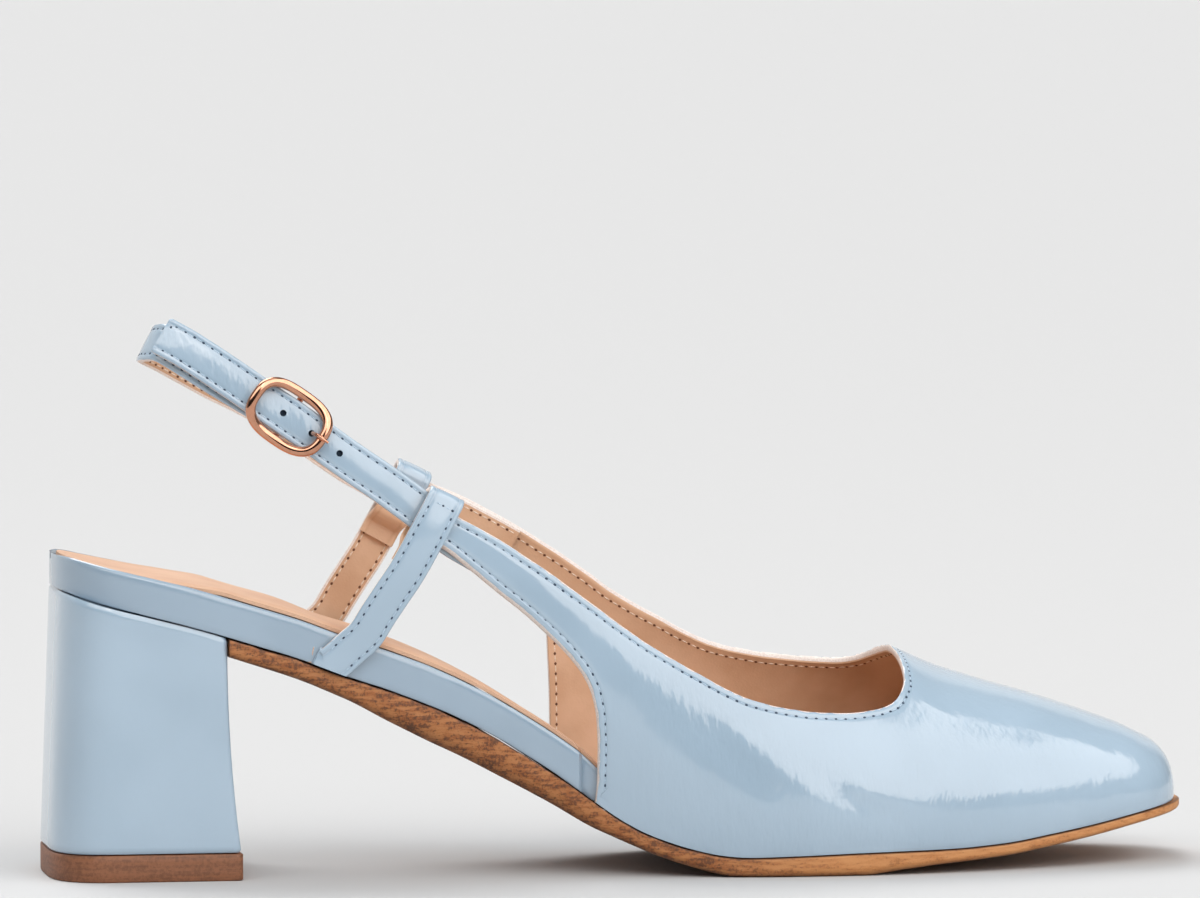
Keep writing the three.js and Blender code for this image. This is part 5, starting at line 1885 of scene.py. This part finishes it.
@dataclass
class Straps:
    """The buckle strap on the outer side and the sling strap that runs round the heel to it."""

    width: float = 8.3
    thickness: float = 1.6
    spread: float = 46.0
    sling_drop: float = 1.6
    hole: float = 1.4
    hole_pitch: float = 7.3
    holes: int = 4
    hole_first: float = 5.9
    holes_behind: int = 2
    bar: float = 1.4
    chape_skin: float = 1.0
    chape_stop: float = 1.5
    buckle_at: float = 0.199
    chape_from: float = 0.1135
    seam: float = 1.25
    lean: float = 5.0
    skive_from: float = 11.0
    skive_full: float = 5.0
    tip_spare: float = 1.3
    chape_spare: float = 9.0
    seams: dict[str, SeamPath] = field(default_factory=dict)

    def __post_init__(self) -> None:
        """Work out both straps' lines and the buckle's place."""
        depth = LAST.wall + LAST.clearance + self.thickness / 2
        self.lateral_knots = [*tucked(LATERAL_TUCK, Side.LATERAL, depth), *running(LATERAL_RUN, self.spread)]
        self.medial_knots = [*tucked(MEDIAL_TUCK, Side.MEDIAL, depth), *running(MEDIAL_RUN, self.spread)]
        self.coarse = Track(self.lateral_knots, 34)
        self.middle = min(self.coarse.spots, key=lambda spot: abs(spot.point.x - LAST.at(self.buckle_at)))
        self.eye = self.bar / 2 + LAST.clearance
        self.bar_out = -(self.thickness / 2 + LAST.clearance + self.eye + self.chape_skin)

    def in_buckle(self, along: float, up: float, out: float) -> Vector:
        """A place from the buckle's middle: towards the toe, up the strap's width, and outwards."""
        return self.middle.point - self.middle.forward * along + self.middle.up * up + self.middle.out * out

    def sling_knots(self) -> list[Knot]:
        """Line of the sling strap, over the bar and back.

        Returns:
            Its knots.
        """
        depth = self.thickness + LAST.clearance
        reach = self.middle.point.x - self.chape_stop * abs(self.middle.forward.x)
        start = LAST.at(self.chape_from)
        over = self.eye + self.chape_skin / 2
        follow = []
        for spot in sorted(self.coarse.spots, key=lambda spot: spot.point.x):
            if start < spot.point.x < reach - 1:
                to_bar = (spot.point.x - start) / (reach - start)
                sunk = depth + (-self.bar_out - over - depth + 0.25) * to_bar**3
                point = spot.point - spot.out * sunk - Vector((0, 0, self.sling_drop * (1 - to_bar * to_bar)))
                follow.append(Knot(point, spot.out.copy()))
        turn = []
        for angle in (90, 50, 10, -30, -70, -105):
            a = radians(angle)
            outward = (self.middle.out * sin(a) - self.middle.forward * cos(a)).normalized()
            centre = self.in_buckle(over * cos(a), 0, self.bar_out + over * sin(a))
            turn.append(Knot(centre, outward))
        return [*self.medial_knots, *follow, *turn]

    def build(self, finishes: Finishes) -> list[Piece]:
        """Make both straps.

        Args:
            finishes: The shoe's finishes.

        Returns:
            Both pieces.
        """
        section = StrapSection(self.width, self.thickness, seam=self.seam)
        lateral = Track(self.lateral_knots, 150)
        for spot in lateral.spots:
            lean = radians(self.lean) * ease(spot.run, self.middle.run - 2, self.middle.run + 5)
            out, up = spot.out, spot.up
            spot.out, spot.up = out * cos(lean) - up * sin(lean), up * cos(lean) + out * sin(lean)
        shell = Shell("buckle_strap_patent")

        def blunt(s: float) -> Span:
            """Slight rounding of the free end."""
            start = 0.992
            near = max(0.0, (s - start) / (1 - start))
            return 1 - 0.25 * near**2, 1 - 0.06 * near**2

        def ripple(spot: Spot) -> float:
            """Slight waves along the strap, strongest at its free end."""
            free = ease(spot.run, self.middle.run + 6, self.middle.run + 16)
            return (0.03 + 0.09 * free) * noise.noise(Vector((spot.run * 0.21, 4.0, 0.0)))

        sweep(shell, lateral.spots, section.ring(), blunt, ripple)
        shell.weld()
        strap = shell.settle(finishes.folded, ["strap_lateral"], 42)
        drill = Shell("strap_holes")
        for i in range(self.holes):
            run = self.middle.run - (self.hole_first + (i - self.holes_behind) * self.hole_pitch)
            spot = lateral.at(run)
            turn = Matrix((spot.forward, spot.up, spot.out)).transposed().to_4x4()
            # Face and lining cuts stop short of each other and leave a thin web; web and walls take the dark
            # hole finish as painted shade.
            for level, depth in ((0.9, 2.4), (-1.35, 1.5)):
                place = Matrix.Translation((spot.point + spot.out * level) * MM) @ turn
                bmesh.ops.create_cone(drill.mesh, cap_ends=True, segments=24, radius1=self.hole / 2 * MM,
                                      radius2=self.hole / 2 * MM, depth=depth * MM, matrix=place)
        pierce(strap, drill, finishes.pit)
        sling = Track(self.sling_knots(), 260)
        shell = Shell("sling_strap_patent")
        skived = self.chape_skin / self.thickness

        def thin(s: float) -> Span:
            """The strap is skived where it turns round the bar."""
            left = (1 - s) * sling.total
            return 1 - (1 - skived) * ease(-left, -self.skive_from, -self.skive_full), 1.0

        sweep(shell, sling.spots, section.ring(), thin)
        shell.weld()
        round_heel = shell.settle(finishes.folded, ["sling_strap"], 42)
        self.trace(lateral, sling)
        return [strap, round_heel]

    def trace(self, lateral: Track, sling: Track) -> None:
        """Note the lines that the stitches follow.

        Args:
            lateral: Places along the buckle strap.
            sling: Places along the sling strap.
        """
        half, skin = self.width / 2 - self.seam, self.thickness / 2
        for name, track, spare in (("buckle", lateral, self.tip_spare), ("sling", sling, self.chape_spare)):
            spots = [spot for spot in track.spots if spot.run < track.total - spare]
            self.seams.update(edge_rows(name, spots, half, skin, 0.13))
        tip = lateral.at(lateral.total - self.tip_spare)
        self.seams["buckle_end"] = cross_row(tip, half, skin - 0.02)


@dataclass
class Post:
    """Strip from the sole up the outside of the band, its top folded down inside round the strap."""

    side: Side
    straps: Straps
    thickness: float = 1.4
    width: float = 7.9
    slack: float = 2.4
    flap: float = 6.0
    setback: float = 1.2
    seam: float = 1.2
    seams: dict[str, SeamPath] = field(default_factory=dict)

    def track(self, count: int) -> Track:
        """Places up the post's middle line."""
        shift = self.setback if self.side == Side.MEDIAL else 0.0
        depth = -LAST.clearance * 1.5
        return Track([Knot(*LAST.spot(LAST.at(along) - shift, LAST.strap_rise * rise, self.side, depth))
                      for along, rise in POST_ROWS], count)

    def crossing(self) -> float:
        """Run up the post at which the strap passes.

        Returns:
            The run.
        """
        knots = self.straps.lateral_knots if self.side == Side.LATERAL else self.straps.medial_knots
        steps = 300
        strap = Track(knots, steps).spots
        return min(self.track(steps).spots, key=lambda a: min((a.point - b.point).length for b in strap)).run

    def path(self, crossing: float) -> list[Span]:
        """Middle line of the folded strip.

        Args:
            crossing: Run at which the strap passes.

        Returns:
            Run and level of its points.
        """
        top = crossing + (self.straps.width + self.slack) / 2
        low = crossing - (self.straps.width + self.slack) / 2
        stack = LAST.wall + self.straps.thickness + 3.5 * LAST.clearance
        mid = self.thickness / 2
        inner = -stack - mid
        bend = 1.6
        path = [(top - 1.0 - (top + 1.0) * (1 - k / 40), mid) for k in range(40)]
        path += arc((top + mid - bend, mid - bend), bend, 90, 0, 8)
        path += arc((top + mid - bend, inner + bend), bend, 0, -90, 8)
        path += [(top - bend - (top - bend - low) * k / 8, inner) for k in range(1, 9)]
        path += [(low - 0.5, inner + 0.35), (low - 1.1, inner + 1.5)]
        path += [(low - 1.7, -mid - 1.5), (low - 2.4, -mid - 0.35)]
        path += [(low - 3.0 - (self.flap - 3.0) * k / 4, -mid - 0.05) for k in range(5)]
        return path

    def build(self, finishes: Finishes) -> Piece:
        """Make the post.

        Args:
            finishes: The shoe's finishes.

        Returns:
            The piece.
        """
        name = f"post_{self.side.name.lower()}"
        track = self.track(160)
        path = self.path(self.crossing())
        spots = []
        fold, lining_start = 48, 61
        for k, (run, level) in enumerate(path):
            before, after = path[max(0, k - 1)], path[min(len(path) - 1, k + 1)]
            way = (after[0] - before[0], after[1] - before[1])
            size = hypot(*way)
            base = track.at(run)
            forward = (base.forward * way[0] + base.out * way[1]) / size
            out = (base.out * way[0] - base.forward * way[1]) / size
            spots.append(Spot(base.off(level, 0.0), forward, out, base.up, run))
        shell = Shell(f"{name}_patent")
        section = StrapSection(self.width, self.thickness, 0.4, self.seam, 0.12, 0.06, 0.5)
        lined_from = lining_start / (len(path) - 1)
        sweep(shell, spots, section.ring(), lined=lambda s: s > lined_from)
        shell.weld()
        self.trim(shell)
        piece = shell.settle(finishes.folded, [name], 42)
        self.trace(spots, fold)
        return piece

    def trim(self, shell: Shell) -> None:
        """Cut the post off at the feather line.

        Args:
            shell: The post being made.
        """
        x = LAST.at(0.2278) - (self.setback if self.side == Side.MEDIAL else 0.0)
        slope = (LAST.feather(x + 3) - LAST.feather(x - 3)) / 6
        normal = Vector((-slope, 0, 1)).normalized()
        everything = [*shell.mesh.verts, *shell.mesh.edges, *shell.mesh.faces]
        place = Vector((x, 0, LAST.feather(x) + 0.1)) * MM
        bmesh.ops.bisect_plane(shell.mesh, geom=everything, plane_co=place, plane_no=normal, clear_inner=True)
        shell.close()

    def trace(self, spots: list[Spot], fold: int) -> None:
        """Note the lines that the stitches follow.

        Args:
            spots: Places along the folded strip.
            fold: Which of them starts the fold.
        """
        half, skin = self.width / 2 - self.seam, self.thickness / 2
        top = fold - 9
        low = [spot for spot in spots[:top] if spot.point.z > LAST.feather(spot.point.x) + 1.5]
        self.seams.update(edge_rows(f"post_{self.side.name}", low, half, skin, 0.12))
        self.seams[f"cross_{self.side.name}"] = cross_row(spots[top], half, skin)


def bulged(value: float, squareness: float) -> float:
    """A sine or cosine for an outline of this squareness, where 2 is round."""
    return abs(value) ** (2 / squareness) * (1 if value > 0 else -1)


@dataclass
class Buckle:
    """Rose gold frame with its bar, and the prong on it."""

    straps: Straps
    length: float = 18.8
    height: float = 13.6
    wire: float = 2.2
    dip: float = 1.6
    squareness: float = 2.8
    prong: float = 0.9

    def tube(self, shell: Shell, line: Sequence[Vector], radii: Sequence[Span], side: Vector,
             sides: int = 16, closed: bool = False, squareness: float = 2.0) -> None:
        """Run a rounded section along a line.

        Args:
            shell: The piece being made.
            line: Middle of the wire.
            radii: Half thickness across and outwards at each point.
            side: Direction that the first radius lies near.
            sides: Points round.
            closed: Whether the line closes on itself.
            squareness: 2 for a round section, more for a squarer one.
        """
        count = len(line)
        frames = []
        for i, point in enumerate(line):
            before = line[(i - 1) % count] if closed else line[max(0, i - 1)]
            after = line[(i + 1) % count] if closed else line[min(count - 1, i + 1)]
            way = (after - before).normalized()
            across = way.cross(side).normalized()
            level = across.cross(way).normalized()
            frames.append((point, across, level))

        def place(s: float, t: float) -> Vector:
            """Point of the wire's skin."""
            i = round(s * (count if closed else count - 1)) % count
            point, across, level = frames[i]
            angle = 2 * pi * round(t * sides) / sides
            wide, deep = bulged(cos(angle), squareness), bulged(sin(angle), squareness)
            return point + across * (radii[i][0] * wide) + level * (radii[i][1] * deep)

        shell.lay(count if closed else count - 1, sides, place)

    def build(self, finishes: Finishes) -> list[Piece]:
        """Make the frame and the prong.

        Args:
            finishes: The shoe's finishes.

        Returns:
            Both pieces.
        """
        straps = self.straps
        radius = self.wire / 2
        half_length, half_height = self.length / 2 - radius, self.height / 2 - radius
        level = straps.thickness / 2 + LAST.clearance + radius
        around = 96
        line = []
        for i in range(around):
            angle = 2 * pi * i / around
            along = bulged(cos(angle), self.squareness) * half_length
            up = bulged(sin(angle), self.squareness) * half_height
            line.append(straps.in_buckle(along, up, level - self.dip * (1 - (along / half_length) ** 2)))
        frame_shell = Shell("buckle_frame_metal")
        self.tube(frame_shell, line, [(radius, radius)] * around, straps.middle.out, 20, True, 2.3)
        thin = straps.bar / 2
        bar = [straps.in_buckle(0, half_height * (2 * k / 12 - 1), straps.bar_out) for k in range(13)]
        self.tube(frame_shell, bar, [(thin, thin)] * 13, straps.middle.out, 14)
        foot = straps.bar_out - thin
        for up in (-half_height, half_height):
            leg = [straps.in_buckle(0, up, foot + (level - self.dip - foot) * k / 6) for k in range(7)]
            self.tube(frame_shell, leg, [(thin * 1.15, thin * 1.15)] * 7, straps.middle.up, 14)
        frame_shell.weld()
        ring = frame_shell.settle([finishes.metal], ["buckle_frame"], 60)
        return [ring, self.make_prong(finishes, level, radius)]

    def make_prong(self, finishes: Finishes, level: float, radius: float) -> Piece:
        """Make the prong.

        Args:
            finishes: The shoe's finishes.
            level: Level of the frame's ends over the strap's middle.
            radius: Half the frame's wire.

        Returns:
            The piece.
        """
        straps = self.straps
        half = self.prong / 2
        over = level + radius + LAST.clearance + half
        rest = self.length / 2 - radius
        eye, bar_out, first = straps.eye, straps.bar_out, straps.hole_first
        arm = [
            (eye + half, bar_out), (first - 1.6, bar_out + 0.1), (first - 0.25, bar_out + 1.1), (first, 0.0),
            (first + 0.35, level), (rest - 0.7, over), (rest + 1.5, over - 0.1),
        ]
        curve = Spline([Vector((a, o, 0)) for a, o in arm])
        places = [curve.at(k / 40) for k in range(41)]
        line = [straps.in_buckle(p.x, 0, p.y) for p in places]
        radii = [(half, half * (1.0 - 0.45 * ease(k, 34, 40))) for k in range(41)]
        shell = Shell("buckle_prong_metal")
        self.tube(shell, line, radii, straps.middle.up, 12)
        ring = arc((0, bar_out), eye + half * 0.9, 0, 360, 28)[:-1]
        loop = [straps.in_buckle(along, 0, out) for along, out in ring]
        self.tube(shell, loop, [(half, half * 0.9)] * len(loop), straps.middle.up, 12, True)
        shell.weld()
        return shell.settle([finishes.metal], ["buckle_prong"], 60)


@dataclass
class Stitching:
    """Rows of stitches: a short thread between two needle holes, many times over."""

    name: str
    length: float = 1.5
    gauge: float = 0.18
    hole: float = 0.31
    pitch: float = 2.2

    def sew(self, paths: Iterable[SeamPath], thread: Material, pit: Material) -> Piece:
        """Sew along lines.

        Args:
            paths: The lines.
            thread: Finish of the thread.
            pit: Finish of the needle holes, a dark colour painted as their shade.

        Returns:
            The piece.
        """
        shell = Shell(self.name)
        for path in paths:
            row = Shell("row")
            for point, way, out in path.spread(self.pitch):
                across = out.cross(way).normalized()
                turn = Matrix((way, across, way.cross(across).normalized())).transposed().to_4x4()
                self.bead(row, point - out * 0.03, turn, (self.length / 2, self.gauge, self.gauge * 0.8), 0)
                # A dark flattened bead at each needle hole, painted as the hole's shade.
                hole = point + way * (self.pitch / 2) + out * 0.02
                self.bead(row, hole, turn, (self.hole * 1.15, self.hole * 0.95, self.hole * 0.3), 1)
            data = bpy.data.meshes.new("row")
            row.mesh.to_mesh(data)
            row.mesh.free()
            shell.mesh.from_mesh(data)
            bpy.data.meshes.remove(data)
        return shell.settle([thread, pit], (), 80)

    def bead(self, shell: Shell, point: Vector, turn: Matrix, size: Triple, layer: int) -> None:
        """Set one small rounded body.

        Args:
            shell: The piece being made.
            point: Its middle.
            turn: Its directions.
            size: Its half sizes.
            layer: Its finish.
        """
        place = Matrix.Translation(point * MM) @ turn @ Matrix.Diagonal((*[s * MM for s in size], 1.0))
        ball = bmesh.ops.create_uvsphere(shell.mesh, u_segments=6, v_segments=4, radius=1.0, matrix=place)
        for face in {face for vert in ball["verts"] for face in vert.link_faces}:
            face.smooth = True
            face.material_index = layer


# Studio


@dataclass(frozen=True)
class Panel:
    """A soft-edged field of the studio's walls, in degrees: start and end round the shoe, head and foot."""

    start: Span
    end: Span
    head: Span
    foot: Optional[Span] = None

    def cover(self, turn: Signal, rise: Signal) -> Signal:
        """How far a direction lies in the field.

        Args:
            turn: The direction's turn round the shoe.
            rise: Its rise.

        Returns:
            1 inside, 0 outside.
        """
        inside = turn.step(*self.start) * (1 - turn.step(*self.end))
        if self.foot:
            inside = inside * rise.step(*self.foot)
        return inside * (1 - rise.step(*self.head))


@dataclass
class Studio:
    """Pale floor, soft lights and the camera."""

    yaw: float = -8.8
    pitch: float = 3.5
    distance: float = 2400.0
    target: Triple = (101.942, 0.0, 88.966)
    roll: float = -0.1258
    lens: float = 337.24
    floor_shade: Colour = paint(197, 197, 197)
    dim: float = 0.22
    top_light: float = 0.1
    right_light: float = 2.5
    left_light: float = 2.3
    back_light: float = 5.4
    glow: float = 0.5
    flag: float = 0.85
    sill_slope: float = 0.6
    sill_rise: float = 41.0
    sill_low: float = 3.0
    right_lean: float = 0.875

    def build(self) -> None:
        """Set up floor, lights, world and camera."""
        scene = bpy.context.scene
        scene.view_settings.view_transform = "Standard"
        self.make_floor()
        self.make_camera()
        self.make_world()
        self.softbox("overhead", (110, -100, 1500), (110, 0, 40), (900, 700), 1.6)

    def make_world(self) -> None:
        """Fill the studio with soft light from its walls, dim round the camera."""
        world = bpy.data.worlds.new("studio_world")
        bpy.context.scene.world = world
        bench = Bench(world)
        look = bench.add("ShaderNodeTexCoord").outputs["Generated"]
        way = bench.add("ShaderNodeSeparateXYZ", {}, {0: look})
        x, y, z = (Signal(bench, way.outputs[k]) for k in range(3))
        turn = y.around(x) * (180 / pi)
        rise = z.arc() * (180 / pi)
        sill = (turn * self.sill_slope + self.sill_rise).peak(self.sill_low)
        right = (turn + rise * self.right_lean).step(-75.5, -72.5) * (1 - turn.step(58, 75))
        right = right * (rise - sill).step(-1.5, 1.5) * (1 - rise.step(54, 62))
        left = Panel((-165, -150), (-97, -93), (44, 52), (25, 27.5)).cover(turn, rise)
        camera = Panel((-165, -150), (-80, -76), (18, 24)).cover(turn, rise)
        back = Panel((75, 90), (135, 155), (66, 78), (30, 42)).cover(turn, rise)
        low = Panel((45, 62), (150, 170), (24, 34)).cover(turn, rise)
        light = self.dim * (1 - self.flag * camera) + self.top_light * rise.step(45, 70)
        light = light + self.right_light * right + self.left_light * left
        light = light + self.back_light * back + self.glow * low
        shade = bench.add("ShaderNodeBackground", {}, {"Color": (1.0, 1.0, 1.0, 1.0), "Strength": light})
        bench.add("ShaderNodeOutputWorld", {}, {"Surface": shade.outputs[0]})

    def make_floor(self) -> None:
        """Lay the pale floor."""
        shell = bmesh.new()
        bmesh.ops.create_grid(shell, x_segments=8, y_segments=8, size=30.0)
        data = bpy.data.meshes.new("floor")
        shell.to_mesh(data)
        shell.free()
        bench = Bench(bpy.data.materials.new("floor_pale"))
        grain = bench.cloud(400, 2.0)
        base = bench.mix(grain * 0.04, self.floor_shade, paint(186, 186, 186))
        data.materials.append(bench.finish(base, 0.9, bench.relief(grain, 0.01), Specular_IOR_Level=0.1))
        floor = bpy.data.objects.new("floor", data)
        bpy.context.scene.collection.objects.link(floor)

    def make_camera(self) -> None:
        """Place the camera at the photo's angle."""
        yaw, pitch, roll = radians(self.yaw), radians(self.pitch), radians(self.roll)
        back = Vector((sin(yaw) * cos(pitch), -cos(yaw) * cos(pitch), sin(pitch)))
        right = (-back).cross(Vector((0, 0, 1))).normalized()
        up = right.cross(-back)
        across, top = right * cos(roll) + up * sin(roll), up * cos(roll) - right * sin(roll)
        data = bpy.data.cameras.new("camera")
        data.lens = self.lens
        data.sensor_width = 36.0
        data.clip_end = 200.0
        camera = bpy.data.objects.new("camera", data)
        turn = Matrix((across, top, back)).transposed().to_4x4()
        camera.matrix_world = Matrix.Translation((Vector(self.target) + back * self.distance) * MM) @ turn
        bpy.context.scene.collection.objects.link(camera)
        bpy.context.scene.camera = camera

    def softbox(self, name: str, place: Triple, aim: Triple,
                size: Span, power: float) -> None:
        """Hang a softbox.

        Args:
            name: Its name.
            place: Where it hangs, in millimetres.
            aim: What it looks at.
            size: Width and height in millimetres.
            power: Its power in watts.
        """
        data = bpy.data.lights.new(name, "AREA")
        data.shape = "RECTANGLE"
        data.size, data.size_y = size[0] * MM, size[1] * MM
        data.energy = power
        light = bpy.data.objects.new(name, data)
        turn = (Vector(aim) - Vector(place)).to_track_quat("-Z", "Y").to_matrix().to_4x4()
        light.matrix_world = Matrix.Translation(Vector(place) * MM) @ turn
        bpy.context.scene.collection.objects.link(light)


def main() -> None:
    """Build the shoe piece by piece, then the studio round it."""
    logging.basicConfig(level=logging.INFO, format="%(name)s: %(message)s")
    finishes = Finishes()
    Heel().build(finishes)
    Outsole().build(finishes)
    Footbed().build(finishes)
    upper = Upper()
    upper.build(finishes)
    straps = Straps()
    straps.build(finishes)
    posts = [Post(side, straps) for side in Side]
    for post in posts:
        post.build(finishes)
    Buckle(straps).build(finishes)
    lines = {**upper.seams, **straps.seams}
    for post in posts:
        lines.update(post.seams)
    outer = [path for name, path in lines.items() if not name.endswith("_lining")]
    inner = [path for name, path in lines.items() if name.endswith("_lining")]
    Stitching("stitches_patent").sew(outer, finishes.thread, finishes.pit)
    Stitching("stitches_lining").sew(inner, finishes.cream, finishes.umber)
    Studio().build()


if __name__ == "__main__":
    main()
